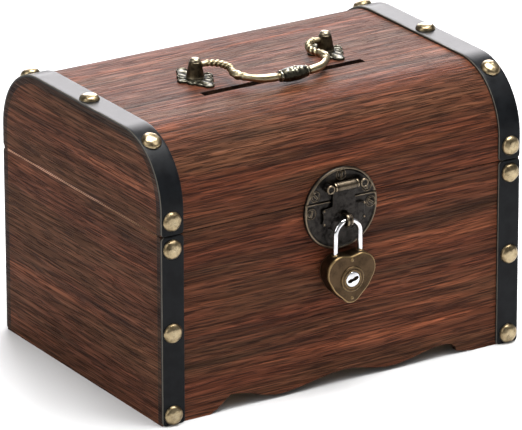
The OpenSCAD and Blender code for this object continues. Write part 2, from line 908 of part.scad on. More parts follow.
// A round arch over two legs; the left leg is the long one
module lock_shackle() color(nickel) placed() {
    arch_z = eye_z - leg_gap / 2;
    translate([hasp_x, -eye_y, 0]) {
        translate([0, 0, arch_z]) rotate([90, 0, 0])
            rotate_extrude(angle = 180) translate([leg_gap / 2, 0]) circle(r = shackle_r, $fn = 48);
        translate([-leg_gap / 2, 0, case_top - long_leg])
            cylinder(r = shackle_r, h = arch_z - case_top + long_leg);
        translate([leg_gap / 2, 0, case_top - short_leg])
            cylinder(r = shackle_r, h = arch_z - case_top + short_leg);
    }
}

base_front_board();
base_back_board();
base_left_end();
base_right_end();
base_bottom_board();
base_front_rail();
base_back_rail();
base_band_front_left();
base_band_front_right();
base_band_back_left();
base_band_back_right();
base_nails_front();
base_nails_back();
latch_lower_plate();
latch_staple();
latch_lower_screws();
hinge_base_leaf_left();
hinge_base_leaf_right();
hinge_pin_left();
hinge_pin_right();
hinge_base_screws();
lid_left_end();
lid_right_end();
lid_skin();
lid_front_rail();
lid_back_rail();
lid_band_left();
lid_band_right();
lid_nails_left();
lid_nails_right();
latch_upper_plate();
latch_upper_screws();
hasp_pin();
handle_rosette_left();
handle_rosette_right();
handle_post_left();
handle_post_right();
handle_washers();
handle_nuts();
hinge_lid_leaf_left();
hinge_lid_leaf_right();
hinge_lid_screws();
hasp_strap();
bail_bow();
bail_pins();
bail_grip();
lock_shackle();
lock_back_shell();
lock_front_shell();
lock_ring();
lock_rivets();
lock_plug();
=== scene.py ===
"""A small wooden money box: stained boards, black edge bands, dome nails, an ornate
carrying bail, a round hasp latch and a heart-shaped padlock.

Sizes are in millimetres, measured from the middle of the box, and become metres when
a mesh is made."""
from math import asin, atan2, cos, exp, hypot, pi, radians, sin, sqrt

import bmesh
import bpy
from mathutils import Matrix, Vector, noise


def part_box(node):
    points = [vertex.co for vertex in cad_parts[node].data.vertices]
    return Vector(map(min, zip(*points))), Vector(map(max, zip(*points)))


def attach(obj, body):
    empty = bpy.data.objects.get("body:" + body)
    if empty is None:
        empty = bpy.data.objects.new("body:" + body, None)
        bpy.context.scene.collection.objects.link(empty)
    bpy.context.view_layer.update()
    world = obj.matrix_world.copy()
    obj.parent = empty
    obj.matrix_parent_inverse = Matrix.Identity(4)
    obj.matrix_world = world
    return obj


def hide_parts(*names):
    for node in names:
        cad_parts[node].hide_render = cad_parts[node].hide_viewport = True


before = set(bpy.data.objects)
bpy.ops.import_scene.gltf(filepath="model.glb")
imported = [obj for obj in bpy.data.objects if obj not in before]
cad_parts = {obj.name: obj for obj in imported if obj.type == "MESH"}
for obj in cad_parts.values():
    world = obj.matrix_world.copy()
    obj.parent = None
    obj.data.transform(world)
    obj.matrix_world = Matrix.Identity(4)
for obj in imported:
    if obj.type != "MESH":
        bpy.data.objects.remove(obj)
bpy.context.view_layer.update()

MM = 0.001
TAU = 2 * pi
SIDES = ((-1, "left"), (1, "right"))
FACES = ((-1, "front"), (1, "back"))

# ---------------------------------------------------------------- sizes from the frame


def node_box(name):
    """A node's lowest and highest corners in millimetres."""
    low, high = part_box(name)
    return Vector(low) / MM, Vector(high) / MM


band_low, band_high = node_box("lid_band_left")
MIDDLE_Y = (band_low.y + band_high.y) / 2
HALF_W = -band_low.x
HALF_D = (band_high.y - band_low.y) / 2
TOP_Z = band_high.z
LID_Z = band_low.z
BASE_Z = node_box("base_band_front_left")[1].z
SPLIT_Z = (BASE_Z + LID_Z) / 2
BAND_W = band_high.x - band_low.x
skin_low, skin_high = node_box("lid_skin")
WOOD_Y = (skin_high.y - skin_low.y) / 2
WOOD_TOP = skin_high.z
BAND_T = TOP_Z - WOOD_TOP
end_low, end_high = node_box("lid_left_end")
SKIN_T = WOOD_Y - (end_high.y - end_low.y) / 2
NAIL_X = HALF_W - 5.6
plate_low, plate_high = node_box("latch_lower_plate")
LATCH_X = (plate_low.x + plate_high.x) / 2
LATCH_R = (plate_high.x - plate_low.x) / 2
LATCH_Z = plate_low.z + LATCH_R
staple_low, staple_high = node_box("latch_staple")
HASP_X = (staple_low.x + staple_high.x) / 2
EYE_Z = (staple_low.z + staple_high.z) / 2
NOSE_R = (staple_high.z - staple_low.z) / 2
EYE_Y = MIDDLE_Y - staple_low.y - NOSE_R
case_low, case_high = node_box("lock_front_shell")
CASE_TOP = case_high.z
CASE_H = case_high.z - case_low.z
CASE_W = case_high.x - case_low.x
CASE_FRONT = MIDDLE_Y - case_low.y
CASE_HALF_T = CASE_FRONT - EYE_Y
plug_low, plug_high = node_box("lock_plug")
PLUG_Z = (plug_low.z + plug_high.z) / 2
PLUG_R = (plug_high.x - plug_low.x) / 2
shackle_low, shackle_high = node_box("lock_shackle")
SHACKLE_R = 1.25
LEG_X = (shackle_high.x - shackle_low.x) / 2 - SHACKLE_R
STRAP_TIP = node_box("hasp_strap")[0].z
post_low, post_high = node_box("handle_post_right")
POST_X = (post_low.x + post_high.x) / 2
leaf_low, leaf_high = node_box("hinge_base_leaf_right")
HINGE_X = (leaf_low.x + leaf_high.x) / 2
HINGE_HALF_W = (leaf_high.x - leaf_low.x) / 2
pin_low, pin_high = node_box("bail_pins")
PIVOT_Z = (pin_low.z + pin_high.z) / 2

# Sizes that a node's box doesn't give
SHOULDER_R = 33.4
PLATE_T = 1.2
LEAF_T = 1.0
SCREW_R = 1.9
RIM_H, RIM_W = 0.7, 1.4
LATCH_SCREW_R = LATCH_R - RIM_W - SCREW_R - 0.3
BARREL_Y, BARREL_Z = 75.7, SPLIT_Z + 7
BARREL_R, BARREL_HALF = 2.3, 6.6
EAR_X, EAR_R = 9.3, 2.3
STRAP_BACK, STRAP_T = 73.4, 1.2
STRAP_W, CROSSBAR_W, STRAP_SLOT = 12.4, 24.0, 4.4
RING_R, RING_H = 6.4, 0.9
LOBE_R, TIP_R = 0.31 * CASE_W, 0.2 * CASE_W
ROSETTE_T = 1.2
REACH = 29.0
GRIP_HALF, GRIP_TOP = 8.0, 3.9
DROOP = asin((6.7 - GRIP_TOP - 0.5) / REACH)

# ---------------------------------------------------------------- colours and shader helpers


def srgb(red, green, blue):
    """A display colour from 0 to 255 as the linear colour that a shader takes."""
    def linear(c):
        c /= 255
        return c / 12.92 if c <= 0.04045 else ((c + 0.055) / 1.055) ** 2.4
    return (linear(red), linear(green), linear(blue), 1.0)


class Shader:
    """A small helper that adds nodes to a material or a node group."""

    def __init__(self, tree):
        self.tree = tree

    def add(self, kind, inputs=None, **settings):
        node = self.tree.nodes.new(kind)
        for key, value in settings.items():
            setattr(node, key, value)
        for key, value in (inputs or {}).items():
            self.put(node.inputs[key], value)
        return node

    def put(self, socket, value):
        if isinstance(value, bpy.types.NodeSocket):
            self.tree.links.new(value, socket)
        else:
            socket.default_value = value

    def math(self, operation, a, b):
        return self.add("ShaderNodeMath", {0: a, 1: b}, operation=operation).outputs[0]

    def times(self, a, b):
        return self.math("MULTIPLY", a, b)

    def plus(self, a, b):
        return self.math("ADD", a, b)

    def minus(self, a, b):
        return self.math("SUBTRACT", a, b)

    def noise(self, vector, scale, detail, roughness=0.5, output="Fac"):
        inputs = {"Vector": vector, "Scale": scale, "Detail": detail, "Roughness": roughness}
        return self.add("ShaderNodeTexNoise", inputs).outputs[output]

    def stretch(self, vector, scale, turn=(0, 0, 0), shift=(0, 0, 0)):
        inputs = {"Vector": vector, "Scale": scale, "Rotation": turn, "Location": shift}
        return self.add("ShaderNodeMapping", inputs).outputs["Vector"]

    def place(self):
        return self.add("ShaderNodeTexCoord").outputs["Object"]

    def ramp(self, factor, *stops, smooth=False):
        """A colour ramp from (place, colour or grey) stops."""
        node = self.add("ShaderNodeValToRGB", {"Fac": factor})
        ramp = node.color_ramp
        ramp.interpolation = "EASE" if smooth else "LINEAR"
        while len(ramp.elements) < len(stops):
            ramp.elements.new(0.5)
        for element, (place, colour) in zip(ramp.elements, stops):
            element.position = place
            element.color = colour if hasattr(colour, "__len__") else (colour, colour, colour, 1)
        return node.outputs["Color"]

    def mix(self, factor, a, b, blend="MIX"):
        node = self.add("ShaderNodeMix", data_type="RGBA", blend_type=blend)
        for socket, value in ((0, factor), (6, a), (7, b)):
            self.put(node.inputs[socket], value)
        return node.outputs[2]

    def bump(self, height, strength, distance):
        inputs = {"Height": height, "Strength": strength, "Distance": distance}
        return self.add("ShaderNodeBump", inputs).outputs["Normal"]

    def group(self, tree, inputs):
        return self.add("ShaderNodeGroup", inputs, node_tree=tree).outputs

    def fill(self, sockets, **values):
        """Puts values in the sockets whose names they have, with _ for a space."""
        for key, value in values.items():
            self.put(sockets[key.replace("_", " ")], value)


VALUE, VECTOR = "NodeSocketFloat", "NodeSocketVector"


def new_group(name, inputs, outputs, kind="ShaderNodeTree"):
    """A node group with named sockets; returns its tree, helper, inputs and output sockets."""
    tree = bpy.data.node_groups.new(name, kind)
    for label, socket_type, value in inputs:
        socket = tree.interface.new_socket(label, in_out="INPUT", socket_type=socket_type)
        if value is not None:
            socket.default_value = value
    for label, socket_type in outputs:
        tree.interface.new_socket(label, in_out="OUTPUT", socket_type=socket_type)
    shader = Shader(tree)
    return tree, shader, shader.add("NodeGroupInput").outputs, shader.add("NodeGroupOutput").inputs


def make_grain_group():
    """Wood figure along X: broad figure, narrow streaks, dark pores and a relief height."""
    tree, s, given, out = new_group(
        "wood grain", [("Vector", VECTOR, None), ("Wander", VALUE, 5.0), ("Pore Depth", VALUE, 1.0)],
        [("Figure", VALUE), ("Streaks", VALUE), ("Pores", VALUE), ("Height", VALUE)])
    place = s.stretch(given["Vector"], (1 / MM, 1 / MM, 1 / MM))
    drift = s.noise(s.stretch(place, (0.0045, 0.02, 0.02)), 1.0, 2.0, output="Color")
    centred = s.add("ShaderNodeVectorMath", {0: drift, 1: (0.5, 0.5, 0.5)}, operation="SUBTRACT")
    wander = s.add("ShaderNodeVectorMath", {0: centred.outputs[0], "Scale": s.times(given["Wander"], 2.0)},
                   operation="SCALE")
    fibre = s.add("ShaderNodeVectorMath", {0: place, 1: wander.outputs[0]}, operation="ADD").outputs[0]

    def along_fibre(scale, detail, roughness, shift=(0, 0, 0)):
        length, width = scale
        return s.noise(s.stretch(fibre, (length, width, width), shift=shift), 1.0, detail, roughness)

    figure = along_fibre((0.0035, 0.13), 3.0, 0.6)
    streaks = along_fibre((0.011, 0.58), 3.0, 0.62)
    lines = along_fibre((0.034, 1.3), 1.0, 0.5)
    dashes = along_fibre((0.07, 1.6), 1.0, 0.5, (7, 3, 5))
    pores = s.ramp(dashes, (0.0, 1.0), (0.38, 1.0), (0.47, 0.0), (1.0, 0.0))
    relief = s.plus(s.times(lines, 0.8), s.times(streaks, 0.5))
    s.fill(out, Figure=figure, Streaks=s.plus(s.times(streaks, 0.5), s.times(lines, 0.5)), Pores=pores,
           Height=s.minus(relief, s.times(pores, given["Pore Depth"])))
    return tree


def make_patina_group():
    """Old metal: blotches, fine speckle and soft dents, and where the metal is made bright: rubbed raised
    edges, and on some parts a painted highlight.
    """
    tree, s, given, out = new_group(
        "old metal", [("Size", VALUE, 3.0), ("Rub", VALUE, 0.5)],
        [("Blotch", VALUE), ("Speckle", VALUE), ("Rubbed", VALUE), ("Height", VALUE)])
    near = s.stretch(s.place(), (1 / MM, 1 / MM, 1 / MM))
    scaled = s.math("DIVIDE", 1.0, given["Size"])
    blotch = s.noise(near, scaled, 4.0, 0.6)
    speckle = s.noise(near, s.times(scaled, 7.0), 2.0, 0.6)
    wear_and_highlight = s.add("ShaderNodeAttribute", attribute_name="rub_and_highlight").outputs["Fac"]
    broken = s.plus(wear_and_highlight, s.times(s.minus(speckle, 0.5), 0.5))
    rubbed = s.ramp(s.times(broken, given["Rub"]), (0.12, 0.0), (0.5, 1.0), smooth=True)
    s.fill(out, Blotch=blotch, Speckle=speckle, Rubbed=rubbed, Height=s.plus(blotch, s.times(speckle, 0.35)))
    return tree


grain_group = make_grain_group()
patina_group = make_patina_group()


def new_material(name, **constants):
    """A material with a Principled shader whose constant values sit on its own sockets."""
    material = bpy.data.materials.new(name)
    material.use_nodes = True
    shader = Shader(material.node_tree)
    surface = material.node_tree.nodes["Principled BSDF"].inputs
    shader.fill(surface, **constants)
    return material, shader, surface


ALONG_BOX, ALONG_ENDS = (0, 0, 0), (0, 0, radians(90))


def stained_wood(name, turn, colours, rough=(0.4, 0.6), gloss=0.07, bare_seam_and_highlight=0.0):
    """Stained, lacquered wood with open pores; turn lays the grain along another axis."""
    material, s, surface = new_material(name, Specular_IOR_Level=gloss)
    dark, middle, light = (srgb(*colour) for colour in colours)
    place = s.place()
    laid = s.stretch(place, (1, 1, 1), turn, (0.31, 0.17, 0.23))
    grain = s.group(grain_group, {"Vector": laid})
    tone = s.ramp(grain["Figure"], (0.32, dark), (0.45, middle), (0.55, middle), (0.68, light), smooth=True)
    patches = s.noise(s.stretch(laid, (9, 60, 60)), 1.0, 2.0)
    tone = s.mix(s.ramp(patches, (0.4, 0.0), (0.62, 0.55)), tone, srgb(76, 54, 37))
    fibre = s.ramp(grain["Streaks"], (0.33, 0.42), (0.5, 0.97), (0.66, 1.8))
    tone = s.mix(1.0, tone, fibre, "MULTIPLY")
    tone = s.mix(s.times(grain["Pores"], 0.6), tone, srgb(30, 17, 14))
    # Bare wood with a painted highlight: a thin pale strip of bare wood along the lid seam, painted brightest
    # at the back and faint at the front, where its edge catches the light.
    if bare_seam_and_highlight:
        along = s.add("ShaderNodeSeparateXYZ", {"Vector": place}).outputs
        away = s.math("ABSOLUTE", s.minus(along["Z"], SPLIT_Z * MM), 0.0)
        chips = s.noise(s.stretch(place, (60, 40, 60)), 1.0, 4.0, 0.6)
        wear_and_highlight = s.math("LESS_THAN", away, s.times(chips, bare_seam_and_highlight * MM))
        reach = {"Value": along["Y"], "From Min": -0.06, "From Max": 0.03, "To Min": 0.15, "To Max": 0.95}
        painted_highlight_fade = s.add("ShaderNodeMapRange", reach).outputs["Result"]
        tone = s.mix(s.times(wear_and_highlight, painted_highlight_fade), tone, srgb(218, 168, 146))
    s.fill(surface, Base_Color=tone, Roughness=s.ramp(grain["Streaks"], (0.3, rough[1]), (0.7, rough[0])),
           Normal=s.bump(grain["Height"], 1.0, 0.00036))
    return material


def bare_wood(name, turn, light, dark):
    """Unfinished board as it is inside the box."""
    material, s, surface = new_material(name, Specular_IOR_Level=0.25)
    laid = s.stretch(s.place(), (1, 1, 1), turn)
    grain = s.group(grain_group, {"Vector": laid, "Wander": 8.0, "Pore Depth": 0.4})
    tone = s.ramp(grain["Figure"], (0.3, srgb(*dark)), (0.7, srgb(*light)), smooth=True)
    fibre = s.ramp(grain["Streaks"], (0.3, 0.7), (0.7, 1.15))
    s.fill(surface, Base_Color=s.mix(1.0, tone, fibre, "MULTIPLY"),
           Roughness=s.ramp(grain["Streaks"], (0.3, 0.82), (0.7, 0.62)),
           Normal=s.bump(grain["Height"], 0.5, 0.0001))
    return material


def old_metal(name, colours, size, rub_and_highlight, rough, dents, metal=1.0, gloss=0.5):
    """Aged metal: dark in the hollows, mottled on the faces and bright where it is rubbed, and where a
    highlight is painted on.
    """
    material, s, surface = new_material(name, Metallic=metal, Specular_IOR_Level=gloss)
    deep, middle, rubbed = (srgb(*colour) for colour in colours)
    old = s.group(patina_group, {"Size": size, "Rub": rub_and_highlight})
    tone = s.ramp(old["Blotch"], (0.32, deep), (0.62, middle), smooth=True)
    tone = s.mix(s.times(s.minus(1.0, old["Speckle"]), 0.35), tone, deep)
    wear = s.plus(s.times(old["Blotch"], 0.6), s.times(old["Rubbed"], -0.35))
    s.fill(surface, Base_Color=s.mix(old["Rubbed"], tone, rubbed),
           Roughness=s.ramp(wear, (0.0, rough[0]), (0.55, rough[1])),
           Normal=s.bump(old["Height"], 0.6, dents))
    return material


front_stain = stained_wood("red brown stain, grain along the box", ALONG_BOX,
                           ((62, 36, 26), (92, 51, 35), (130, 73, 49)), gloss=0.05)
end_stain = stained_wood("red brown stain, grain along the ends", ALONG_ENDS,
                         ((58, 36, 27), (88, 53, 38), (112, 68, 48)), (0.55, 0.72), 0.05, 0.8)
edge_stain = stained_wood("dark stained board edge", ALONG_ENDS,
                          ((24, 16, 14), (40, 26, 22), (58, 38, 30)), (0.5, 0.7))
inside_wood_x = bare_wood("bare board, grain along the box", ALONG_BOX, (206, 172, 128), (160, 122, 84))
inside_wood_y = bare_wood("bare board, grain along the ends", ALONG_ENDS, (204, 170, 127), (156, 119, 82))
# The band's grey third colour is a painted highlight along its side edges.
band_black = old_metal("satin black band", ((14, 15, 17), (22, 24, 26), (92, 88, 80)), 6.0, 0.52,
                       (0.26, 0.36), 0.00005, 0.0, 0.085)
# Painted shade: near-black colour for the inside of the key slot.
keyway_painted_shade = old_metal("keyway painted shade", ((4, 4, 4), (10, 10, 10), (20, 20, 20)), 2.0, 0.2,
                         (0.6, 0.8), 0.00008, 0.0, 0.1)

# name, (hollow, face and rubbed colour), blotch size, how far rubbed, roughness, depth of dents
METALS = (
    ("polished antique brass", ((104, 89, 64), (164, 145, 112), (216, 204, 172)), 3.0, 0.34,
     (0.22, 0.4), 0.00006),
    ("dark bronze latch", ((30, 28, 27), (56, 53, 50), (108, 96, 80)), 2.4, 0.5, (0.30, 0.52), 0.00016),
    ("dark screw", ((22, 21, 20), (48, 45, 43), (118, 106, 90)), 1.6, 1.0, (0.3, 0.5), 0.00008),
    ("antique pewter", ((18, 17, 13), (52, 49, 40), (128, 124, 108)), 1.8, 0.52, (0.38, 0.6), 0.0001),
    # The post's light colour also paints the highlight on the post tops.
    ("brown bronze post", ((42, 37, 28), (86, 76, 58), (156, 144, 122)), 2.4, 0.55, (0.3, 0.48), 0.00006),
    ("antique bow brass", ((60, 51, 38), (128, 114, 86), (192, 178, 144)), 2.2, 0.7, (0.34, 0.5), 0.00008),
    ("dark grip pewter", ((34, 33, 28), (76, 73, 62), (150, 146, 128)), 1.6, 1.0, (0.26, 0.48), 0.0001),
    ("dark lock brass", ((52, 41, 29), (80, 64, 47), (138, 116, 82)), 5.0, 0.6, (0.34, 0.46), 0.00006),
    ("polished nickel", ((186, 186, 188), (226, 226, 228), (246, 246, 246)), 5.0, 0.6, (0.08, 0.18), 0.00002),
    ("aged hinge brass", ((60, 48, 30), (112, 94, 62), (170, 150, 110)), 3.4, 0.8, (0.3, 0.5), 0.00008),
    ("rubbed bronze barrel", ((34, 30, 27), (70, 62, 53), (132, 118, 98)), 2.0, 0.6, (0.26, 0.44), 0.00008))
(nail_brass, latch_bronze, screw_dark, pewter, post_bronze, bow_brass, grip_metal, case_brass, nickel,
 hinge_brass, barrel_bronze) = (old_metal(*row) for row in METALS)

# ---------------------------------------------------------------- mesh helpers


def at(x, y, z):
    return Matrix.Translation((x, y, z))


def in_box(matrix=Matrix.Identity(4)):
    """Takes local millimetres into the frame, in metres."""
    return Matrix.Scale(MM, 4) @ at(0, MIDDLE_Y, 0) @ matrix


def facing_front(x, y, z):
    """Local X, Y and Z become right, up and out of the front."""
    return Matrix(((1, 0, 0, x), (0, 0, -1, -y), (0, 1, 0, z), (0, 0, 0, 1)))


def facing_back(x, y, z):
    """Local X, Y and Z become the box's -X, up and out of the back."""
    return Matrix(((-1, 0, 0, x), (0, 0, 1, y), (0, 1, 0, z), (0, 0, 0, 1)))


def mesh_object(name, mesh):
    piece = bpy.data.objects.new(name, mesh)
    bpy.context.scene.collection.objects.link(piece)
    return piece


def apply_modifiers(piece):
    """Bakes a piece's modifiers into its own mesh."""
    bpy.context.view_layer.update()
    graph = bpy.context.evaluated_depsgraph_get()
    mesh = bpy.data.meshes.new_from_object(piece.evaluated_get(graph))
    piece.modifiers.clear()
    piece.data = mesh
    return mesh


def shade(mesh, sharp):
    """Smooth shading, apart from edges sharper than this many degrees."""
    mesh.shade_smooth()
    mesh.set_sharp_from_angle(angle=radians(sharp))


def finish_piece(piece, body, node):
    """Hands a finished piece to its body, in place of the named CAD node."""
    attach(piece, body)
    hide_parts(node)


def make_piece(name, shape, material, matrix, sharp=40):
    """A closed mesh from (points, faces, rub values), in millimetres."""
    points, faces, rub_and_highlight = shape
    mesh = bpy.data.meshes.new(name)
    build = bmesh.new()
    wear_and_highlight = build.verts.layers.float.new("rub_and_highlight")
    verts = [build.verts.new(p) for p in points]
    for vert, value in zip(verts, rub_and_highlight):
        vert[wear_and_highlight] = value
    for face in faces:
        build.faces.new([verts[i] for i in face])
    bmesh.ops.remove_doubles(build, verts=build.verts, dist=1e-4)
    bmesh.ops.recalc_face_normals(build, faces=build.faces)
    build.transform(in_box(matrix))
    build.to_mesh(mesh)
    build.free()
    shade(mesh, sharp)
    mesh.materials.append(material)
    return mesh_object(name, mesh)


def make_and_finish(name, shape, material, matrix, sharp, body, node):
    finish_piece(make_piece(name, shape, material, matrix, sharp), body, node)


def join_shapes(first, second):
    start = len(first[0])
    moved_faces = [[start + i for i in face] for face in second[1]]
    return first[0] + second[0], first[1] + moved_faces, first[2] + second[2]


def around(count):
    """Even angles round a circle."""
    return [TAU * k / count for k in range(count)]


def arc_angles(last, count, first=0):
    """Angles from a first to a last one in degrees, both included, in radians."""
    return [radians(first + (last - first) * k / count) for k in range(count + 1)]


def ring_of(radius, count):
    return [(radius * cos(a), radius * sin(a)) for a in around(count)]


def skin(rows, columns, point_at, closed_ends=True):
    """Skins a grid that closes on itself across its columns; its ends close on middle points.

    point_at(row, column) gives a point and how far it is rubbed bright; on some parts that brightness is a
    painted highlight."""
    grid = [point_at(row, column) for row in rows for column in columns]
    points = [Vector(point) for point, _ in grid]
    rub_and_highlight = [wear_and_highlight for _, wear_and_highlight in grid]
    sides = len(columns)
    last = len(points) - sides
    faces = []
    for start in range(0, last, sides):
        for j in range(sides):
            k = (j + 1) % sides
            faces.append([start + j, start + k, start + sides + k, start + sides + j])
    for start in (0, last) if closed_ends else ():
        points.append(sum((points[start + j] for j in range(sides)), Vector()) / sides)
        rub_and_highlight.append(rub_and_highlight[start])
        faces += [[start + j, start + (j + 1) % sides, len(points) - 1] for j in range(sides)]
    return points, faces, rub_and_highlight


def lathe(profile, sides=48, dent=0.0, seed=0.0, closed_ends=True):
    """Turns (radius, height, rub) round Z; dent pushes the surface about a little."""
    def point_at(row, a):
        radius, height, wear_and_highlight = row
        x, y = cos(a), sin(a)
        push = dent * noise.noise(Vector((x * radius * 0.5 + seed, y * radius * 0.5, height * 0.5)))
        return ((radius + push) * x, (radius + push) * y, height + push), wear_and_highlight

    return skin(profile, around(sides), point_at, closed_ends)


def tube(path, side_of, radius_at, sides, rub_at):
    """A rod along a flat path; side_of is the direction square to the path's plane."""
    side = Vector(side_of)
    path = [Vector(point) for point in path]
    run = [0.0]
    for a, b in zip(path, path[1:]):
        run.append(run[-1] + (b - a).length)

    def point_at(i, a):
        ahead = path[min(i + 1, len(path) - 1)] - path[max(i - 1, 0)]
        across = side.cross(ahead.normalized())
        place = (run[i] / run[-1], run[i], a)
        return path[i] + radius_at(*place) * (cos(a) * across + sin(a) * side), rub_at(*place)

    return skin(range(len(path)), around(sides), point_at)


def even_outline(points, step):
    """The closed outline again, with points an even step apart."""
    result = []
    for a, b in zip(points, points[1:] + points[:1]):
        a, b = Vector(a), Vector(b)
        parts = max(1, round((b - a).length / step))
        result += [a.lerp(b, k / parts) for k in range(parts)]
    return result


def relief_plate(outline, middle, height, base, rings, edge_r, rub_and_highlight):
    """A plate with a modelled face: rings run from the middle out to the outline.

    height(x, y, inside) gives the face's height, inside being the distance in from the
    edge, and the side goes down to base with a small rounded edge."""
    centre = Vector((0, middle))
    spokes = [Vector(p) - centre for p in outline]
    rows = [((k / rings) ** 0.8, 0) for k in range(1, rings)]
    rows += [(0.975, 0), (1.0, 0), (1.0, 0.35), (1.0, 1.0)]

    def point_at(row, spoke):
        share, depth = row
        p = centre + spoke * share
        inside = spoke.length * (1 - share)
        drop = max(0.0, edge_r - inside)
        h = height(p.x, p.y, inside) - (edge_r - sqrt(max(edge_r ** 2 - drop ** 2, 0)))
        return (p.x, p.y, h + (base - h) * depth), 0.2 if depth else rub_and_highlight(p.x, p.y, inside)

    return skin(rows, spokes, point_at)


def smooth_path(knots, steps):
    """A smooth curve through the knots."""
    result = []
    last = len(knots) - 1
    for i in range(last):
        a, b, c, d = (Vector(knots[j]) for j in (max(i - 1, 0), i, i + 1, min(i + 2, last)))
        for k in range(steps):
            t = k / steps
            result.append(0.5 * (2 * b + (c - a) * t + (2 * a - 5 * b + 4 * c - d) * t * t
                                 + (3 * b - a - 3 * c + d) * t ** 3))
    result.append(Vector(knots[last]))
    return result


def bump_at(distance, width):
    """A soft bump that is 1 at no distance."""
    return exp(-(distance / width) ** 2)


def step_up(value, low, high):
    """0 below low, 1 above high and smooth between."""
    t = min(1.0, max(0.0, (value - low) / (high - low)))
    return t * t * (3 - 2 * t)


def rough_at(x, y, z):
    return noise.noise(Vector((x, y, z)))


# ---------------------------------------------------------------- boards and other eased CAD parts


def cad_copy(node, name):
    """A copy of a CAD part's mesh, merged and with its flat faces whole."""
    mesh = bpy.data.meshes.new(name)
    build = bmesh.new()
    build.from_mesh(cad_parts[node].data)
    bmesh.ops.remove_doubles(build, verts=build.verts, dist=1e-6)
    bmesh.ops.dissolve_limit(build, angle_limit=radians(0.5), verts=build.verts, edges=build.edges)
    build.to_mesh(mesh)
    build.free()
    return mesh


def ease_edges(piece, width, segments, degrees):
    """Rounds the edges that turn by more than this many degrees."""
    ease = piece.modifiers.new("eased edges", "BEVEL")
    ease.width = width * MM
    ease.segments = segments
    ease.limit_method = "ANGLE"
    ease.angle_limit = radians(degrees)


def set_rub(mesh, values):
    mesh.attributes.new("rub_and_highlight", "FLOAT", "POINT").data.foreach_set("value", values)


def inset(y, z):
    """How far a point lies inside the lid bands' outer face."""
    across = max(abs(y) - (HALF_D - SHOULDER_R), 0.0)
    up = max(z - (TOP_Z - SHOULDER_R), 0.0)
    return SHOULDER_R - hypot(across, up) if up or across > 0 else TOP_Z - z


FACE, EDGE, INNER = 0, 1, 2


def board_surface(node, face):
    """Which of the board's three materials a face takes."""
    place, normal = face.center / MM, face.normal
    y = place.y - MIDDLE_Y
    at_end = abs(normal.x) > 0.9 and abs(place.x) > HALF_W - 0.1
    at_seam = abs(normal.z) > 0.9 and BASE_Z - 0.1 < place.z < LID_Z + 0.1
    if "end" in node:
        return FACE if at_end else INNER
    if at_end or at_seam:
        return EDGE
    if node == "base_front_board" and place.z < 12 and normal.z < -0.1:
        return EDGE
    if node != "lid_skin":
        return FACE if abs(y) > WOOD_Y - 0.4 * SKIN_T or place.z > WOOD_TOP - 0.4 else INNER
    # The coin slot's cut walls take the dark edge stain, which also paints the shade inside the slot.
    if abs(place.x) < HALF_W / 2 and place.z > TOP_Z - 6 and abs(normal.z) < 0.5:
        return EDGE
    return FACE if inset(y, place.z) < BAND_T + 0.8 * SKIN_T else INNER


def board(node, face_material, inner_material, edge=0.35):
    """A CAD board with eased edges, stained outside and bare inside."""
    mesh = cad_copy(node, node.replace("_", " "))
    for material in (face_material, edge_stain, inner_material):
        mesh.materials.append(material)
    for face in mesh.polygons:
        face.material_index = board_surface(node, face)
    piece = mesh_object("board_" + node, mesh)
    ease_edges(piece, edge, 2, 35)
    mesh.shade_smooth()
    weighted = piece.modifiers.new("flat faces stay flat", "WEIGHTED_NORMAL")
    weighted.mode = "FACE_AREA"
    weighted.weight = 100
    apply_modifiers(piece)
    finish_piece(piece, node.split("_")[0], node)


for node in ("base_front_board", "base_back_board", "lid_skin"):
    board(node, front_stain, inside_wood_x)
for body in ("base", "lid"):
    for _, side in SIDES:
        board(f"{body}_{side}_end", end_stain, inside_wood_y)
board("base_bottom_board", inside_wood_x, inside_wood_x)
for body in ("base", "lid"):
    for _, face in FACES:
        board(f"{body}_{face}_rail", inside_wood_x, inside_wood_x, edge=0.6)


def eased_copy(node, body, material, edge):
    """A copy of a plain CAD part with eased, lightly rubbed edges."""
    mesh = cad_copy(node, node)
    mesh.materials.append(material)
    piece = mesh_object("eased_" + node, mesh)
    ease_edges(piece, edge, 2, 40)
    mesh = apply_modifiers(piece)
    largest = [0.0] * len(mesh.vertices)
    for face in mesh.polygons:
        for index in face.vertices:
            largest[index] = max(largest[index], face.area)
    set_rub(mesh, [0.55 if area < 3e-6 else 0.25 for area in largest])
    shade(mesh, 30)
    finish_piece(piece, body, node)


# ---------------------------------------------------------------- edge bands


END_STEPS = (0, 0.12, 0.3, 0.6, 1.0, 1.5, 2.0)


def band_stations(total, parts):
    """Distances along a band, close together at its ends."""
    middle = [2 + (total - 4) * k / parts for k in range(1, parts)]
    return [*END_STEPS, *middle, *(total - step for step in reversed(END_STEPS))]


def lid_band_path():
    """(y, z, outward y, outward z, run) along the lid band."""
    flat = HALF_D - SHOULDER_R
    wall = TOP_Z - SHOULDER_R - LID_Z
    arc = SHOULDER_R * pi / 2
    total = 2 * wall + 2 * arc + 2 * flat
    path = []
    for run in band_stations(total, 150):
        mirror = 1 if run > total / 2 else -1
        near = total - run if mirror > 0 else run
        if near < wall:
            y, z, ny, nz = HALF_D, LID_Z + near, 1, 0
        elif near < wall + arc:
            a = (near - wall) / SHOULDER_R
            ny, nz = cos(a), sin(a)
            y, z = flat + SHOULDER_R * ny, TOP_Z - SHOULDER_R + SHOULDER_R * nz
        else:
            y, z, ny, nz = flat - (near - wall - arc), TOP_Z, 0, 1
        path.append((mirror * y, z, mirror * ny, nz, run))
    return path


# (share of the half width, step along the width in millimetres, share of the thickness)
BAND_SECTION = ((-1, 0, 0), (-1, 0, 0.75), (-1, 0.12, 0.93), (-1, 0.35, 1), (-0.72, 0, 1), (-0.4, 0, 1),
                (0, 0, 1), (0.4, 0, 1), (0.72, 0, 1), (1, -0.35, 1), (1, -0.12, 0.93), (1, 0, 0.75), (1, 0, 0))
BAND_CORNER = 1.8


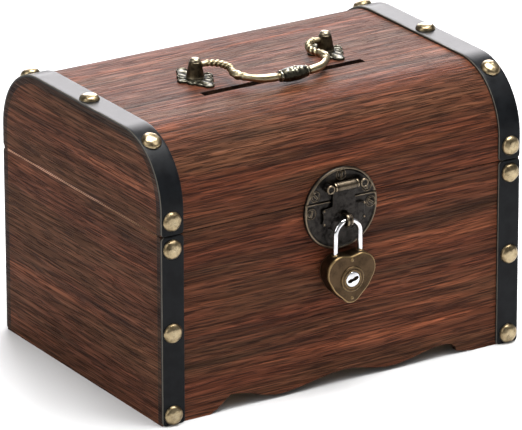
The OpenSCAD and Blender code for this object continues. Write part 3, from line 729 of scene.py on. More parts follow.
def band(name, path, x_middle, body, node, seed):
    """A thin flat strip with rounded corners, dressed down over the wood, with a painted highlight along its
    side edges.
    """
    total = path[-1][-1]

    def point_at(row, column):
        y, z, ny, nz, run = row
        far, offset, share = column
        end = min(run, total - run)
        cut = BAND_CORNER - sqrt(max(BAND_CORNER ** 2 - max(BAND_CORNER - end, 0) ** 2, 0))
        thin = 0.22 * max(0.0, 1 - end / 0.3)
        x = far * (BAND_W / 2 - cut) + offset
        height = (BAND_T - thin) * share - BAND_T
        if share == 1:
            height += 0.05 * rough_at(seed, run * 0.06, 0) - 0.05
        # Painted highlight: the band's rounded side edges take the grey colour, more on the -X edge than the
        # +X edge; the flat faces get none.
        wear_and_highlight = 0.0 if share in (0, 1) else 0.9 if x < 0 else 0.45
        return (x_middle + x, y + ny * height, z + nz * height), wear_and_highlight

    shape = skin(path, BAND_SECTION, point_at)
    make_and_finish(name, shape, band_black, at(0, 0, 0), 55, body, node)


for sign, side in SIDES:
    x_middle = sign * (HALF_W - BAND_W / 2)
    band(f"lid_band_{side}", lid_band_path(), x_middle, "lid", f"lid_band_{side}", 3.1 * sign)
    for face_sign, face in FACES:
        path = [(face_sign * HALF_D, z, face_sign, 0, z) for z in band_stations(BASE_Z, 50)]
        node = f"base_band_{face}_{side}"
        band(node + "_strip", path, x_middle, "base", node, 5.7 * sign + face_sign)

# ---------------------------------------------------------------- nails and screws, set by Geometry Nodes


def make_setting_tree():
    """Sets a copy of a pattern on every point, turned to face out, with its own spin and size."""
    tree, s, given, out = new_group(
        "set on points",
        [("Geometry", "NodeSocketGeometry", None), ("Pattern", "NodeSocketObject", None),
         ("Material", "NodeSocketMaterial", None), ("Smallest", VALUE, 0.97), ("Largest", VALUE, 1.0),
         ("Seed", "NodeSocketInt", 4)],
        [("Geometry", "NodeSocketGeometry")], "GeometryNodeTree")

    def random_value(low, high):
        inputs = {2: low, 3: high, "Seed": given["Seed"]}
        return s.add("FunctionNodeRandomValue", inputs, data_type="FLOAT").outputs[1]

    facing = s.add("GeometryNodeInputNamedAttribute", {"Name": "facing"}, data_type="FLOAT_VECTOR")
    aim = s.add("FunctionNodeAlignRotationToVector", {"Vector": facing.outputs["Attribute"]}, axis="Z")
    spin = s.add("FunctionNodeAxisAngleToRotation", {"Axis": (0, 0, 1), "Angle": random_value(0.0, TAU)})
    turns = {"Rotation": aim.outputs["Rotation"], "Rotate By": spin.outputs["Rotation"]}
    turn = s.add("FunctionNodeRotateRotation", turns, rotation_space="LOCAL")
    pattern = s.add("GeometryNodeObjectInfo", {"Object": given["Pattern"]})
    setting = s.add("GeometryNodeInstanceOnPoints", {
        "Points": given["Geometry"], "Instance": pattern.outputs["Geometry"],
        "Rotation": turn.outputs["Rotation"], "Scale": random_value(given["Smallest"], given["Largest"])})
    real = s.add("GeometryNodeRealizeInstances", {"Geometry": setting.outputs["Instances"]})
    finish = s.add("GeometryNodeSetMaterial", {"Geometry": real.outputs["Geometry"],
                                               "Material": given["Material"]})
    s.put(out["Geometry"], finish.outputs["Geometry"])
    return tree


setting_tree = make_setting_tree()


def set_on_points(name, places, pattern, seed, smallest, body, node):
    """Copies of the pattern at (point, outward direction) places, as one finished piece."""
    mesh = bpy.data.meshes.new(name)
    mesh.from_pydata([in_box() @ Vector(point) for point, _ in places], [], [])
    facing = mesh.attributes.new("facing", "FLOAT_VECTOR", "POINT")
    for item, (_, direction) in zip(facing.data, places):
        item.vector = Vector(direction).normalized()
    piece = mesh_object(name, mesh)
    modifier = piece.modifiers.new("set on points", "NODES")
    modifier.node_group = setting_tree
    values = {"Pattern": pattern, "Material": pattern.data.materials[0], "Seed": seed, "Smallest": smallest}
    for item in setting_tree.interface.items_tree:
        if item.in_out == "INPUT" and item.name in values:
            modifier[item.identifier] = values[item.name]
    apply_modifiers(piece).set_sharp_from_angle(angle=radians(40))
    finish_piece(piece, body, node)


def make_pattern(name, shape, material):
    """A pattern at the origin, in metres, that is removed once its copies are made."""
    return make_piece(name, shape, material, at(0, -MIDDLE_Y, 0))


def nail_profile(radius=4.9, height=2.6):
    """A dome that flattens a little on top and rolls under at its rim."""
    rows = [(0.001, height, 0.8)]
    for a in arc_angles(84, 13, first=6):
        rows.append((radius * 0.985 * sin(a) ** 0.92, height * cos(a) ** 0.82, 0.75 - 0.3 * sin(a)))
    return rows + [(radius * 0.992, 0.22, 0.7), (radius, 0.06, 0.95), (radius * 0.99, -0.12, 0.4),
                   (radius * 0.97, -0.42, 0.0), (0.9, -0.44, 0.0), (0.8, -3.0, 0.0), (0.8, -10.0, 0.0),
                   (0.05, -11.0, 0.0)]


def lid_nail_places(x):
    """The five nails on one lid band: top, then low and on the shoulder of each face."""
    turn = radians(61.6)
    corner_y, corner_z = HALF_D - SHOULDER_R, TOP_Z - SHOULDER_R
    places = [((x, 0, TOP_Z), (0, 0, 1))]
    for side, _ in FACES:
        on_shoulder = (x, side * (corner_y + SHOULDER_R * cos(turn)), corner_z + SHOULDER_R * sin(turn))
        places.append(((x, side * HALF_D, SPLIT_Z + 7.2), (0, side, 0)))
        places.append((on_shoulder, (0, side * cos(turn), sin(turn))))
    return places


nail_pattern = make_pattern("dome nail", lathe(nail_profile(), 40, dent=0.16, seed=2.3), nail_brass)
for sign, side in SIDES:
    set_on_points(f"lid_dome_nails_{side}", lid_nail_places(sign * NAIL_X), nail_pattern, 5 + sign, 0.97,
                  "lid", f"lid_nails_{side}")
for sign, face in FACES:
    heights = (5, (SPLIT_Z - 2) / 2, SPLIT_Z - 6.5)
    places = [((x, sign * HALF_D, z), (0, sign, 0)) for x in (-NAIL_X, NAIL_X) for z in heights]
    set_on_points(f"base_dome_nails_{face}", places, nail_pattern, 11 + sign, 0.97,
                  "base", f"base_nails_{face}")


def screw_shape(length):
    """A round-headed screw with a straight slot and a tapered shank."""
    def face(x, y, inside):
        dome = 0.75 * sqrt(max(1 - 0.8 * (hypot(x, y) / SCREW_R) ** 2, 0.05))
        return dome - 0.45 * (1 - step_up(abs(y), 0.16, 0.26))

    def wear_and_highlight(x, y, inside):
        return 0.9 * bump_at(abs(y) - 0.34, 0.16) + 0.5 * bump_at(inside, 0.3)

    head = relief_plate(ring_of(SCREW_R, 40), 0, face, -0.05, 14, 0.12, wear_and_highlight)
    shank = [(0.88, 0.0, 0), (0.85, -length * 0.5, 0), (0.7, -length * 0.85, 0), (0.05, -length, 0)]
    return join_shapes(head, lathe(shank, 14))


def latch_screw_place(degrees):
    """A point on the latch's face, at an angle round its middle, and the way out of it."""
    a = radians(degrees)
    x, z = LATCH_X + LATCH_SCREW_R * cos(a), LATCH_Z + LATCH_SCREW_R * sin(a)
    return (x, -WOOD_Y - PLATE_T, z), (0, -1, 0)


latch_screw = make_pattern("latch screw", screw_shape(7.6), screw_dark)
short_screw = make_pattern("short latch screw", screw_shape(3.6), screw_dark)
hinge_screw = make_pattern("hinge screw", screw_shape(7.6), hinge_brass)
for name, turns, pattern, seed, body, node in (
        ("lower_latch_screws", (0, 180), latch_screw, 3, "base", "latch_lower_screws"),
        ("upper_latch_screws", (30, 150), latch_screw, 8, "lid", "latch_upper_screws"),
        ("top_latch_screw", (90,), short_screw, 2, "lid", "latch_upper_screws")):
    places = [latch_screw_place(turn) for turn in turns]
    set_on_points(name, places, pattern, seed, 1.0, body, node)
for up, body in ((-1, "base"), (1, "lid")):
    places = [((side * HINGE_X + across * (HINGE_HALF_W - 5), WOOD_Y + LEAF_T, SPLIT_Z + up * 12), (0, 1, 0))
              for side in (-1, 1) for across in (-1, 1)]
    set_on_points(f"{body}_hinge_screws", places, hinge_screw, 20 + up, 1.0,
                  body, f"hinge_{body}_screws")

# ---------------------------------------------------------------- latch


def plate_outline(z0, z1):
    """The part of the latch's disc between two heights above its middle."""
    start, end = asin(max(z0 / LATCH_R, -1)), asin(min(z1 / LATCH_R, 1))
    turns = [start + (end - start) * k / 60 for k in range(61)]
    right = [(LATCH_R * cos(a), LATCH_R * sin(a)) for a in turns]
    return even_outline(right + [(-x, z) for x, z in reversed(right)], 0.9)


def screw_ring(x, z, turns):
    """A raised ring round a sunk seat for each screw: its height, and how near its top is."""
    value, near = 0.0, 0.0
    for turn in turns:
        a = radians(turn)
        away = hypot(x - LATCH_SCREW_R * cos(a), z - LATCH_SCREW_R * sin(a))
        value += 0.42 * bump_at(away - 2.55, 0.38) - 0.12 * (1 - step_up(away, 1.9, 2.4))
        near += bump_at(away - 2.55, 0.4)
    return value, near


def scrolls(x, z):
    """Faint raised scrollwork over the plate's field."""
    wave = sin(0.52 * x + 1.7 * sin(0.42 * z)) * sin(0.5 * z + 1.3 * sin(0.38 * x))
    return 0.13 * step_up(abs(wave), 0.35, 0.8) + 0.12 * rough_at(x * 0.35, z * 0.35, 4.2)


def latch_plate(half, body, z0, z1, screws, lip, split_rub, split):
    """A half of the round latch plate, with a raised rim round the disc."""
    def height(x, z, inside):
        from_rim = LATCH_R - hypot(x, z)
        rim = RIM_H * (1 - step_up(from_rim, RIM_W * 0.6, RIM_W * 1.25))
        edge = lip * (1 - step_up(z1 - z, 0.45, 0.85)) * step_up(abs(x - 1), 6.6, 7.0)
        field = scrolls(x, z) * step_up(from_rim, RIM_W, RIM_W + 1.5)
        return (PLATE_T + rim - 0.22 * bump_at(from_rim - 0.1, 0.25) + edge * (1 - step_up(rim, 0.1, 0.5))
                + screw_ring(x, z, screws)[0] + field)

    def wear_and_highlight(x, z, inside):
        on_rim = bump_at(LATCH_R - hypot(x, z) - 0.55, 0.6)
        on_split = split_rub * bump_at(abs(z - split) - 0.4, 0.45)
        return min(1.0, on_rim + on_split + 0.75 * screw_ring(x, z, screws)[1])

    middle = (max(z0, -LATCH_R) + min(z1, LATCH_R)) / 2
    shape = relief_plate(plate_outline(z0, z1), middle, height, 0.0, 52, 0.3, wear_and_highlight)
    make_and_finish(f"latch_plate_{half}", shape, latch_bronze, facing_front(LATCH_X, WOOD_Y, LATCH_Z), 50,
                    body, f"latch_{half}_plate")


base_edge, lid_edge = BASE_Z - LATCH_Z, LID_Z - LATCH_Z
latch_plate("lower", "base", -99, base_edge, (0, 180), 0.5, 0.9, base_edge)
latch_plate("upper", "lid", lid_edge, 99, (30, 150, 90), 0.0, 0.25, lid_edge)


def ear_profile():
    """A round post whose head has a raised rim round a sunk middle."""
    face = BARREL_Y + EAR_R - WOOD_Y
    rows = [(0.01, face - 0.3, 0.35)]
    rows += [(EAR_R * share, face - depth, wear_and_highlight) for share, depth, wear_and_highlight in (
        (0.3, 0.4, 0.2), (0.42, 0.55, 0.0), (0.56, 0.45, 0.1), (0.68, 0.02, 0.9), (0.85, 0, 1.0),
        (0.97, 0.25, 1.0), (1, 0.7, 0.7), (0.97, 1.3, 0.3), (0.9, 1.9, 0.1))]
    return rows + [(EAR_R * 0.86, PLATE_T + 0.5, 0), (EAR_R * 0.86, 0.3, 0), (0.05, 0.3, 0)]


for sign, side in SIDES:
    make_and_finish(f"hasp_ear_{side}", lathe(ear_profile(), 36), latch_bronze,
                    facing_front(HASP_X + sign * EAR_X, WOOD_Y, BARREL_Z), 40,
                    "lid", "latch_upper_plate")

# ---------------------------------------------------------------- hasp and staple


def strap_outline():
    """The hasp's strap from its barrel down past the crossbar to its forked tip."""
    side, bar, slot = STRAP_W / 2, CROSSBAR_W / 2, STRAP_SLOT / 2
    right = [(side, BARREL_Z)]
    right += [(x, SPLIT_Z - drop) for x, drop in (
        (side, 2.0), (side + 0.4, 2.8), (side + 1.4, 3.3), (bar - 1.3, 3.4), (bar - 0.3, 3.7), (bar, 4.6),
        (bar - 0.6, 6.0), (bar - 0.6, 9.0), (bar, 10.4), (bar - 0.3, 11.3), (bar - 1.4, 11.6),
        (bar * 0.72, 13.0), (bar * 0.58, 14.2))]
    right += [(x, STRAP_TIP + rise) for x, rise in (
        (bar * 0.54, 1.2), (bar * 0.44, 0.3), (bar * 0.32, 0), (slot + 0.2, 0.1), (slot, 0.5))]
    right += [(slot, SPLIT_Z - 7.6), (slot - 0.6, SPLIT_Z - 6.3), (slot - 1.4, EYE_Z + NOSE_R + 0.4)]
    return right + [(-x, z) for x, z in reversed(right)]


def strap_piece():
    """The strap as a plate with rounded edges."""
    build = bmesh.new()
    face = build.faces.new([build.verts.new((x, z, 0)) for x, z in strap_outline()])
    bmesh.ops.recalc_face_normals(build, faces=[face])
    if face.normal.z < 0:
        face.normal_flip()
    top = bmesh.ops.extrude_face_region(build, geom=[face])
    raised = [v for v in top["geom"] if isinstance(v, bmesh.types.BMVert)]
    bmesh.ops.translate(build, verts=raised, vec=(0, 0, STRAP_T))
    bmesh.ops.recalc_face_normals(build, faces=build.faces)
    build.transform(in_box(facing_front(HASP_X, STRAP_BACK, 0)))
    mesh = bpy.data.meshes.new("hasp strap plate")
    build.to_mesh(mesh)
    build.free()
    mesh.materials.append(latch_bronze)
    piece = mesh_object("hasp_strap_plate", mesh)
    ease_edges(piece, 0.32, 3, 50)
    mesh = apply_modifiers(piece)
    front = min(v.co.y for v in mesh.vertices)
    set_rub(mesh, [0.42 if 1e-6 < v.co.y - front < 0.25 * MM else 0.1 for v in mesh.vertices])
    shade(mesh, 35)
    finish_piece(piece, "hasp", "hasp_strap")


def barrel():
    """The rolled barrel with bright rims and sunk mouths at its ends."""
    half, radius = BARREL_HALF, BARREL_R
    rows = [(0.75, 0.8 - half, 0), (0.75, 0.02 - half, 0.4), (radius - 0.35, -half, 1.0),
            (radius - 0.08, 0.16 - half, 1.0), (radius, 0.5 - half, 0.9), (radius, 0.95 - half, 0.35),
            (radius - 0.14, 1.15 - half, 0.0), (radius - 0.02, 1.4 - half, 0.35), (radius, 2.2 - half, 0.4)]
    rows += [(radius - 0.03, 0, 0.45)] + [(r, -h, w) for r, h, w in reversed(rows)]
    turn = at(HASP_X, -BARREL_Y, BARREL_Z) @ Matrix.Rotation(radians(90), 4, "Y")
    make_and_finish("hasp_barrel", lathe(rows, 40, dent=0.05, seed=5.0), barrel_bronze, turn, 40,
                    "hasp", "hasp_strap")


def small_bead(name, x, y, z, radius, material, body, node):
    """A small dome on a short foot that faces the front."""
    rows = [(0.01, radius, 0.9)]
    rows += [(radius * sin(a), radius * cos(a), 0.9 - 0.5 * sin(a)) for a in arc_angles(108, 8, first=12)]
    rows += [(radius * 0.9, -radius * 0.5, 0), (0.01, -radius * 0.5, 0)]
    make_and_finish(name, lathe(rows, 24), material, facing_front(x, y, z), 40, body, node)


def staple():
    """A flat bar bent round into an eye, its ends together at the plate."""
    start = WOOD_Y + 0.3
    half_width, half_thick, power = 1.6, 0.7, 3.2
    middle_r = (NOSE_R + 1.9) / 2 - 0.15
    straight = [-start - 0.1 * k * (EYE_Y - 1.5 - start) for k in range(10)]
    path = [(0, y, EYE_Z + middle_r) for y in straight]
    path += [(0, -EYE_Y - middle_r * sin(a), EYE_Z + middle_r * cos(a)) for a in arc_angles(180, 28)]
    path += [(0, y, EYE_Z - middle_r) for y in reversed(straight)]

    def section(share, run, a):
        square = (abs(cos(a)) / half_thick) ** power + (abs(sin(a)) / half_width) ** power
        return 1 / square ** (1 / power)

    def wear_and_highlight(share, run, a):
        return 0.85 * bump_at(abs(sin(a)) - 0.86, 0.12) + 0.15

    make_and_finish("staple_loop", tube(path, (1, 0, 0), section, 28, wear_and_highlight), barrel_bronze,
                    at(HASP_X, 0, 0), 60, "base", "latch_staple")
    collar = [(0.01, 0.0, 0), (2.9, 0.0, 0.3), (2.9, 0.25, 0.8), (2.55, 0.5, 0.6), (0.01, 0.5, 0.1)]
    make_and_finish("staple_foot", lathe(collar, 32), latch_bronze,
                    facing_front(HASP_X, WOOD_Y + PLATE_T, EYE_Z), 40, "base", "latch_staple")


strap_piece()
barrel()
for sign, side in SIDES:
    for rise, place in ((-11.0, "low"), (-4.1, "high")):
        small_bead(f"crossbar_bead_{side}_{place}", HASP_X + sign * (CROSSBAR_W / 2 - 0.85),
                   STRAP_BACK + STRAP_T, SPLIT_Z + rise, 0.62, barrel_bronze,
                   "hasp", "hasp_strap")
staple()

# ---------------------------------------------------------------- padlock


def heart_outline():
    """The lock's heart outline about the plug, with a shallow dip between its lobes."""
    lobe_x = CASE_W / 2 - LOBE_R
    circles = [(-lobe_x, -LOBE_R, LOBE_R), (lobe_x, -LOBE_R, LOBE_R), (0, -CASE_H + TIP_R, TIP_R)]
    circles += [(side * CASE_W * 0.092, -CASE_H * 0.49, CASE_W * 0.33) for side in (-1, 1)]
    points = []
    for a in around(200):
        d = Vector((cos(a), sin(a)))
        x, z, r = max(circles, key=lambda c: c[0] * d.x + c[1] * d.y + c[2])
        points.append(tuple(Vector((x, z)) + d * r))
    return [(p.x, p.y - 0.95 * step_up(p.y, -4.0, -0.4) * bump_at(p.x, 3.4) + CASE_TOP - PLUG_Z)
            for p in even_outline(points, 0.55)]


def case_shells():
    """Two shells whose flat faces fall away in a soft pillow to their rims."""
    outline = heart_outline()
    mirrored = [(-x, y) for x, y in reversed(outline)]

    def wear_and_highlight(x, y, inside):
        return 1.1 * bump_at(inside - 0.35, 0.42)

    for side, turn, edge, pillow, rough, rings in (
            ("front", facing_front(HASP_X, EYE_Y, PLUG_Z), outline, 1.5, 0.03, 34),
            ("back", facing_back(HASP_X, -EYE_Y, PLUG_Z), mirrored, 1.2, 0.0, 22)):
        def height(x, y, inside):
            return CASE_HALF_T - 0.1 * max(0.0, pillow - inside) ** 2 + rough * rough_at(x * 0.3, y * 0.3, 0)

        shape = relief_plate(edge, -1.0, height, 0.02, rings, 0.55, wear_and_highlight)
        make_and_finish(f"heart_case_{side}", shape, case_brass, turn, 60,
                        "case", f"lock_{side}_shell")


def open_ring(rows, sides):
    """A turned ring with a hole through it."""
    return lathe(rows + rows[:1], sides, closed_ends=False)


def plug_ring():
    """The raised, turned ring round the plug."""
    rows = [(PLUG_R + 0.08, -0.3, 0), (PLUG_R + 0.08, RING_H * 0.72, 0.5), (PLUG_R + 0.35, RING_H, 0.9),
            (PLUG_R + 0.8, RING_H * 0.98, 0.7), (PLUG_R + 1.2, RING_H * 0.72, 0.1),
            (PLUG_R + 1.55, RING_H * 0.66, 0.05), (PLUG_R + 1.85, RING_H * 0.86, 0.7),
            (RING_R - 0.3, RING_H * 0.7, 0.8), (RING_R - 0.08, RING_H * 0.4, 0.4), (RING_R, 0.0, 0.1),
            (RING_R, -0.3, 0.0)]
    shape = open_ring([(r, h, 0.6 * wear_and_highlight) for r, h, wear_and_highlight in rows], 64)
    make_and_finish("plug_ring", shape, case_brass, facing_front(HASP_X, CASE_FRONT, PLUG_Z), 50,
                    "case", "lock_ring")


def plug():
    """The bright plug, a little domed, with the key's slot across it."""
    proud, tilt = 1.3, radians(16)
    slot_half_length, slot_half_width = 3.05, 0.95

    def slot_depth(x, y):
        u, v = x * cos(tilt) + y * sin(tilt), -x * sin(tilt) + y * cos(tilt)
        half = slot_half_width * sqrt(max(1 - (u / slot_half_length) ** 2, 0))
        waist = half * (0.62 if -1.0 < u < 0.6 else 1.0)
        return 1 - step_up(abs(v), waist, waist + 0.16) if half > 0.1 else 0

    def height(x, y, inside):
        return CASE_HALF_T + proud - 0.5 * (hypot(x, y) / PLUG_R) ** 2 - 2.2 * slot_depth(x, y)

    def wear_and_highlight(x, y, inside):
        return 0.6 * bump_at(inside, 0.4) + 0.2

    shape = relief_plate(ring_of(PLUG_R - 0.02, 110), 0, height, 0.4, 60, 0.35, wear_and_highlight)
    piece = make_piece("key_plug", shape, nickel, facing_front(HASP_X, EYE_Y, PLUG_Z), 35)
    # Painted shade: the deep faces of the key slot take the near-black material instead of the plug's metal.
    piece.data.materials.append(keyway_painted_shade)
    for face in piece.data.polygons:
        place = face.center / MM
        deep = MIDDLE_Y - place.y < EYE_Y + CASE_HALF_T + proud - 0.75
        if deep and hypot(place.x - HASP_X, place.z - PLUG_Z) < PLUG_R * 0.86:
            face.material_index = 1
    finish_piece(piece, "plug", "lock_plug")


def shackle():
    """A polished round bar bent into an arch; the left leg is the long one."""
    arch = EYE_Z - LEG_X
    left_end, right_end = shackle_low.z, CASE_TOP - 4.4
    path = [(-LEG_X, 0, left_end + (arch - left_end) * k / 8) for k in range(9)]
    path += [(-LEG_X * cos(a), 0, arch + LEG_X * sin(a)) for a in arc_angles(175.5, 38, first=4.5)]
    path += [(LEG_X, 0, arch - (arch - right_end) * k / 6) for k in range(7)]
    shape = tube(path, (0, 1, 0), lambda share, run, a: SHACKLE_R, 28, lambda share, run, a: 0.3)
    make_and_finish("polished_shackle", shape, nickel, at(HASP_X, -EYE_Y, 0), 50,
                    "shackle", "lock_shackle")
    mouth = [(0.04, -0.8, 0), (0.04, 0.1, 0.4), (0.3, 0.24, 1.0), (0.65, 0.1, 0.8), (0.75, -0.8, 0.2)]
    collar = open_ring([(SHACKLE_R + out, height, wear_and_highlight) for out, height, wear_and_highlight in mouth], 32)
    for sign, side in SIDES:
        top = CASE_TOP - 0.95 * bump_at(LEG_X, 3.4) - 0.2
        make_and_finish(f"leg_collar_{side}", collar, case_brass, at(HASP_X + sign * LEG_X, -EYE_Y, top), 40,
                        "case", "lock_front_shell")


case_shells()
plug_ring()
for z, place in ((CASE_TOP - 2.9, "top"), (case_low.z + 2.8, "bottom")):
    small_bead(f"case_rivet_{place}", HASP_X, CASE_FRONT - 0.35, z, 1.0, case_brass,
               "case", "lock_rivets")
plug()
shackle()

# ---------------------------------------------------------------- handle


def rosette_outline():
    """A long pointed diamond of scallops, about its middle."""
    discs = [(0, 0, 6.2)]
    for side in (-1, 1):
        discs += [(0, side * 12.2, 2.8), (0, side * 8, 4.6), (side * 6.4, 0, 3.1),
                  (side * 3.6, 4.6, 3.4), (side * 3.6, -4.6, 3.4)]
    points = []
    for a in around(220):
        d = Vector((cos(a), sin(a)))
        far = 0.0
        for x, y, r in discs:
            off = abs(-x * d.y + y * d.x)
            if off < r:
                far = max(far, x * d.x + y * d.y + sqrt(r * r - off * off))
        points.append(tuple(d * (far - 0.02)))
    return points


def rosette(name, x, node):
    """Chased leaves round a raised seat, with a beaded, scalloped rim."""
    def parts(px, py, inside):
        away, turn = hypot(px, py), atan2(py, px)
        rim = 0.55 * bump_at(inside - 0.55, 0.42)
        bead = 0.32 * bump_at(inside - 0.6, 0.5) * (0.5 + 0.5 * cos(turn * 26))
        ribs = 0.5 + 0.5 * cos(turn * 12 + 0.5 * sin(away))
        ribs *= step_up(away, 4.6, 5.8) * step_up(inside, 0.7, 1.6)
        lobes = 0.4 * bump_at(abs(py) - 9.2, 1.5) * bump_at(px, 1.7)
        return rim, bead, ribs, lobes, 0.5 * (1 - step_up(away, 4.7, 5.2))

    def height(px, py, inside):
        rim, bead, ribs, lobes, seat = parts(px, py, inside)
        rough = 0.08 * rough_at(px * 0.9 + x, py * 0.9, 1.0)
        return ROSETTE_T * 0.42 + rim + bead + 0.42 * ribs + lobes + seat + rough

    def wear_and_highlight(px, py, inside):
        rim, bead, ribs, lobes, _ = parts(px, py, inside)
        return min(1.0, 1.3 * rim + 1.2 * bead + 0.75 * ribs + 1.2 * lobes)

    shape = relief_plate(rosette_outline(), 0, height, 0.0, 46, 0.25, wear_and_highlight)
    make_and_finish(name, shape, pewter, at(x, 0, WOOD_TOP), 60, "lid", node)


def handle_post(name, x, node):
    """A tapered post with soft facets, a neck line and a small top painted bright as a highlight."""
    foot, top = 4.3, 2.9
    post_h = post_high.z - (WOOD_TOP + ROSETTE_T)
    cone = post_h - top * 0.72
    rows = [(0.92, -11.0, 0), (0.92, -0.2, 0), (foot + 0.25, 0.0, 0.2), (foot + 0.25, 0.35, 0.6),
            (foot, 0.6, 0.3)]
    rows += [(foot + (top + 0.1 - foot) * k / 8, 0.6 + (cone - 0.6) * k / 8, 0.06) for k in range(1, 9)]
    # Painted highlight: the rows over the top are painted bright with the post's light colour.
    rows += [(top - inwards, cone + rise, wear_and_highlight) for inwards, rise, wear_and_highlight in (
        (0.1, 0.12, 0.5), (0.28, 0.28, 0.2), (0.3, 0.6, 0.7), (0.42, 1.1, 1.0), (0.9, 1.62, 1.0),
        (1.7, 1.95, 0.9))]
    rows.append((0.01, post_h - 0.02, 0.8))

    def point_at(row, a):
        radius, height, wear_and_highlight = row
        if 0.9 < height < cone:
            flute = 0.1 * (1 - abs(cos(a * 4.5)))
            radius -= flute
            wear_and_highlight += 0.16 * bump_at(flute, 0.02)
        return (radius * cos(a), radius * sin(a), height), wear_and_highlight

    shape = skin(rows, around(60), point_at)
    make_and_finish(name, shape, post_bronze, at(x, 0, WOOD_TOP + ROSETTE_T), 50, "lid", node)


at_bail = at(0, 0, PIVOT_Z) @ Matrix.Rotation(DROOP, 4, "X")
BAIL_KNOTS = ((33.6, 0), (32.5, 0), (31, 0), (29.3, 0), (25.2, -2.8), (23, -9), (25, -16.2), (22.4, -22.3),
              (17, -27), (12, -28.7), (9, -REACH), (5, -REACH))
KNUCKLE = 0.52


def bow_half(name, sign):
    """Half of the bail: roped by the pivot, a leaf knuckle at the bend, then a fluted swell."""
    def parts(share, run, a):
        rope = step_up(share, 0.05, 0.09) * (1 - step_up(share, 0.40, 0.45))
        swell = step_up(share, KNUCKLE + 0.1, KNUCKLE + 0.34)
        return rope, cos(2 * a - run * 2.6 * sign), swell

    def radius(share, run, a):
        rope, twist, swell = parts(share, run, a)
        if share < 0.05:
            return 1.25 + 0.2 * share / 0.05
        body = 1.42 + 0.22 * step_up(share, 0.0, 0.3) + 0.42 * swell
        for rise, place, width in ((0.52, KNUCKLE, 0.035), (0.34, KNUCKLE + 0.075, 0.022),
                                   (0.26, KNUCKLE - 0.07, 0.02), (0.2, 0.965, 0.02), (-0.25, 0.93, 0.016)):
            body += rise * bump_at(share - place, width)
        flute = 0.22 * swell * (1 - step_up(share, 0.9, 0.93)) * (0.5 - 0.5 * cos(a * 6))
        leaf = 0.2 * bump_at(share - KNUCKLE, 0.06) * cos(a * 5 + run * 1.1)
        return min(body + 0.24 * rope * twist - flute + leaf, 2.5 if 0.3 < share < 0.95 else 1.88)

    def wear_and_highlight(share, run, a):
        rope, twist, swell = parts(share, run, a)
        ridge = 0.5 + 0.5 * cos(a * 6)
        value = 0.45 * (1 - rope) * (1 - swell) + rope * (0.5 + 0.5 * twist) * 0.9
        value += swell * (0.25 + 0.65 * ridge)
        return value + 0.5 * bump_at(share - KNUCKLE, 0.03) - 0.6 * bump_at(share - 0.93, 0.014)

    path = smooth_path([(sign * x, y, 0) for x, y in BAIL_KNOTS], 16)
    make_and_finish(name, tube(path, (0, 0, 1), radius, 40, wear_and_highlight), bow_brass, at_bail, 60,
                    "bail", "bail_bow")


def grip():
    """The middle grip: end collars, a barrel between, and a small flower on its upper side."""
    def point_at(s, a):
        end = GRIP_HALF - abs(s)
        body = 2.75 + 1.1 * (1 - abs(s / GRIP_HALF) ** 2.2) - 0.3 * bump_at(end - 1.5, 0.3)
        body += 0.12 * bump_at(end - 0.75, 0.5) - 0.5 * max(0, 1 - end / 0.35) ** 2
        along = atan2(sin(a), cos(a)) * body
        from_flower = hypot(s, along)
        petal = (0.5 + 0.5 * cos(5 * atan2(along, s))) * bump_at(from_flower - 1.55, 0.75)
        centre = bump_at(from_flower, 0.5)
        leaf = bump_at(abs(s) - 3.9, 0.9) * bump_at(along, 1.0)
        rough = 0.06 * rough_at(s * 0.8, along * 0.8, 3.3)
        radius = min(body - 0.3 + 0.38 * petal + 0.4 * centre + 0.3 * leaf + rough, GRIP_TOP - 0.02)
        wear_and_highlight = 0.95 * petal + centre + 0.8 * leaf + 0.8 * bump_at(end - 0.75, 0.35) + 0.2 * bump_at(end, 0.3)
        return (s, radius * sin(a), radius * cos(a)), min(1.0, wear_and_highlight)

    stations = [-GRIP_HALF + 2 * GRIP_HALF * k / 96 for k in range(97)]
    tilt = at(0, -REACH, 0) @ Matrix.Rotation(radians(24), 4, "X")
    make_and_finish("flower_grip", skin(stations, around(64), point_at), grip_metal, at_bail @ tilt, 60,
                    "bail", "bail_grip")


for sign, side in SIDES:
    rosette(f"chased_rosette_{side}", sign * POST_X, f"handle_rosette_{side}")
    handle_post(f"tapered_post_{side}", sign * POST_X, f"handle_post_{side}")
for sign, side in SIDES:
    bow_half(f"bail_bow_{side}", sign)
grip()

# ---------------------------------------------------------------- hinges and small plain parts

for _, side in SIDES:
    eased_copy(f"hinge_base_leaf_{side}", "base", hinge_brass, 0.25)
    eased_copy(f"hinge_lid_leaf_{side}", "lid", hinge_brass, 0.25)
    eased_copy(f"hinge_pin_{side}", "base", hinge_brass, 0.2)
eased_copy("handle_washers", "lid", screw_dark, 0.2)
eased_copy("handle_nuts", "lid", screw_dark, 0.3)
for node, material in (("hasp_pin", barrel_bronze), ("bail_pins", bow_brass)):
    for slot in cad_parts[node].material_slots:
        slot.material = material
for pattern in (nail_pattern, latch_screw, short_screw, hinge_screw):
    bpy.data.objects.remove(pattern)

# ---------------------------------------------------------------- floor, light and camera, in metres


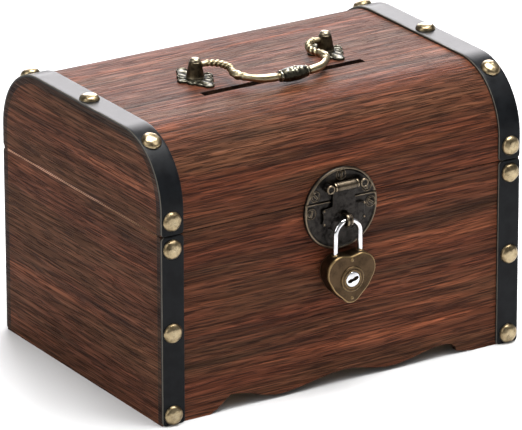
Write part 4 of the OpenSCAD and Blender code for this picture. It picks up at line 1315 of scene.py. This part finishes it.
def make_floor(front_y=-6.0, curve_y=4.6, curve_r=0.8, top_z=4.5, half_width=7):
    """A plain pale sheet that curves up far behind the box."""
    mesh = bpy.data.meshes.new("floor sheet")
    rows = [(front_y, 0.0), (curve_y, 0.0)]
    rows += [(curve_y + sin(a) * curve_r, curve_r - cos(a) * curve_r) for a in arc_angles(90, 9, first=9)]
    rows.append((curve_y + curve_r, top_z))
    points = [(x, y, z) for y, z in rows for x in (-half_width, half_width)]
    faces = [(2 * i, 2 * i + 1, 2 * i + 3, 2 * i + 2) for i in range(len(rows) - 1)]
    mesh.from_pydata(points, [], faces)
    mesh.shade_smooth()
    material, s, surface = new_material("plain pale floor", Specular_IOR_Level=0.2)
    cloud = s.noise(s.place(), 3.0, 2.0)
    s.fill(surface, Base_Color=s.ramp(cloud, (0.0, srgb(228, 228, 229)), (1.0, srgb(233, 233, 233))),
           Roughness=s.ramp(cloud, (0.0, 0.6), (1.0, 0.75)))
    mesh.materials.append(material)
    mesh_object("floor", mesh)


def direction(azimuth, elevation):
    """The way from the box to something seen at these angles in degrees; 0, 0 is the front."""
    a, e = radians(azimuth), radians(elevation)
    return Vector((sin(a) * cos(e), -cos(a) * cos(e), sin(e)))


def area_light(name, azimuth, elevation, distance, size, power, colour=(1, 1, 1)):
    """A square soft light that looks at the box from round it."""
    way = direction(azimuth, elevation)
    light = bpy.data.lights.new(name, "AREA")
    light.shape = "SQUARE"
    light.size = size
    light.energy = power
    light.color = colour
    lamp = bpy.data.objects.new(name, light)
    lamp.location = way * distance + Vector((0, 0, 0.07))
    lamp.rotation_euler = way.to_track_quat("Z", "Y").to_euler()
    lamp.visible_camera = False
    bpy.context.scene.collection.objects.link(lamp)


def make_world():
    """Soft white surroundings, plain white behind the box."""
    world = bpy.data.worlds.new("studio")
    world.use_nodes = True
    s = Shader(world.node_tree)
    background = world.node_tree.nodes["Background"].inputs
    seen = s.add("ShaderNodeLightPath").outputs["Is Camera Ray"]
    level = s.add("ShaderNodeMapRange", {"Value": seen, "To Min": 0.25, "To Max": 1.0})
    s.fill(background, Color=(1, 1, 1, 1), Strength=level.outputs["Result"])
    bpy.context.scene.world = world
    bpy.context.scene.view_settings.view_transform = "Standard"


def make_camera(azimuth, elevation, roll, distance, target, lens):
    """A camera that looks at the target, a place in millimetres."""
    back = direction(azimuth, elevation)
    right = Vector((cos(radians(azimuth)), sin(radians(azimuth)), 0))
    turn = Matrix((right, back.cross(right), back)).transposed().to_4x4()
    data = bpy.data.cameras.new("camera")
    data.lens = lens
    data.sensor_width = 36
    data.clip_start = 0.05
    data.clip_end = 20
    camera = bpy.data.objects.new("camera", data)
    place = Matrix.Translation(Vector(target) * MM + back * distance * MM)
    camera.matrix_world = place @ turn @ Matrix.Rotation(radians(roll), 4, "Z")
    bpy.context.scene.collection.objects.link(camera)
    bpy.context.scene.camera = camera


make_floor()
area_light("key softbox", 38, 48, 1.5, 0.6, 2.5)
area_light("left fill", -78, 28, 1.7, 1.0, 8.5)
area_light("overhead", 60, 80, 1.5, 1.0, 43)
area_light("back softbox", 148, 24, 2.2, 1.2, 40, (1.0, 0.97, 0.99))
make_world()
make_camera(-32.31, 20.82, -0.11, 2604, (0.1, MIDDLE_Y, 61.7), 374)
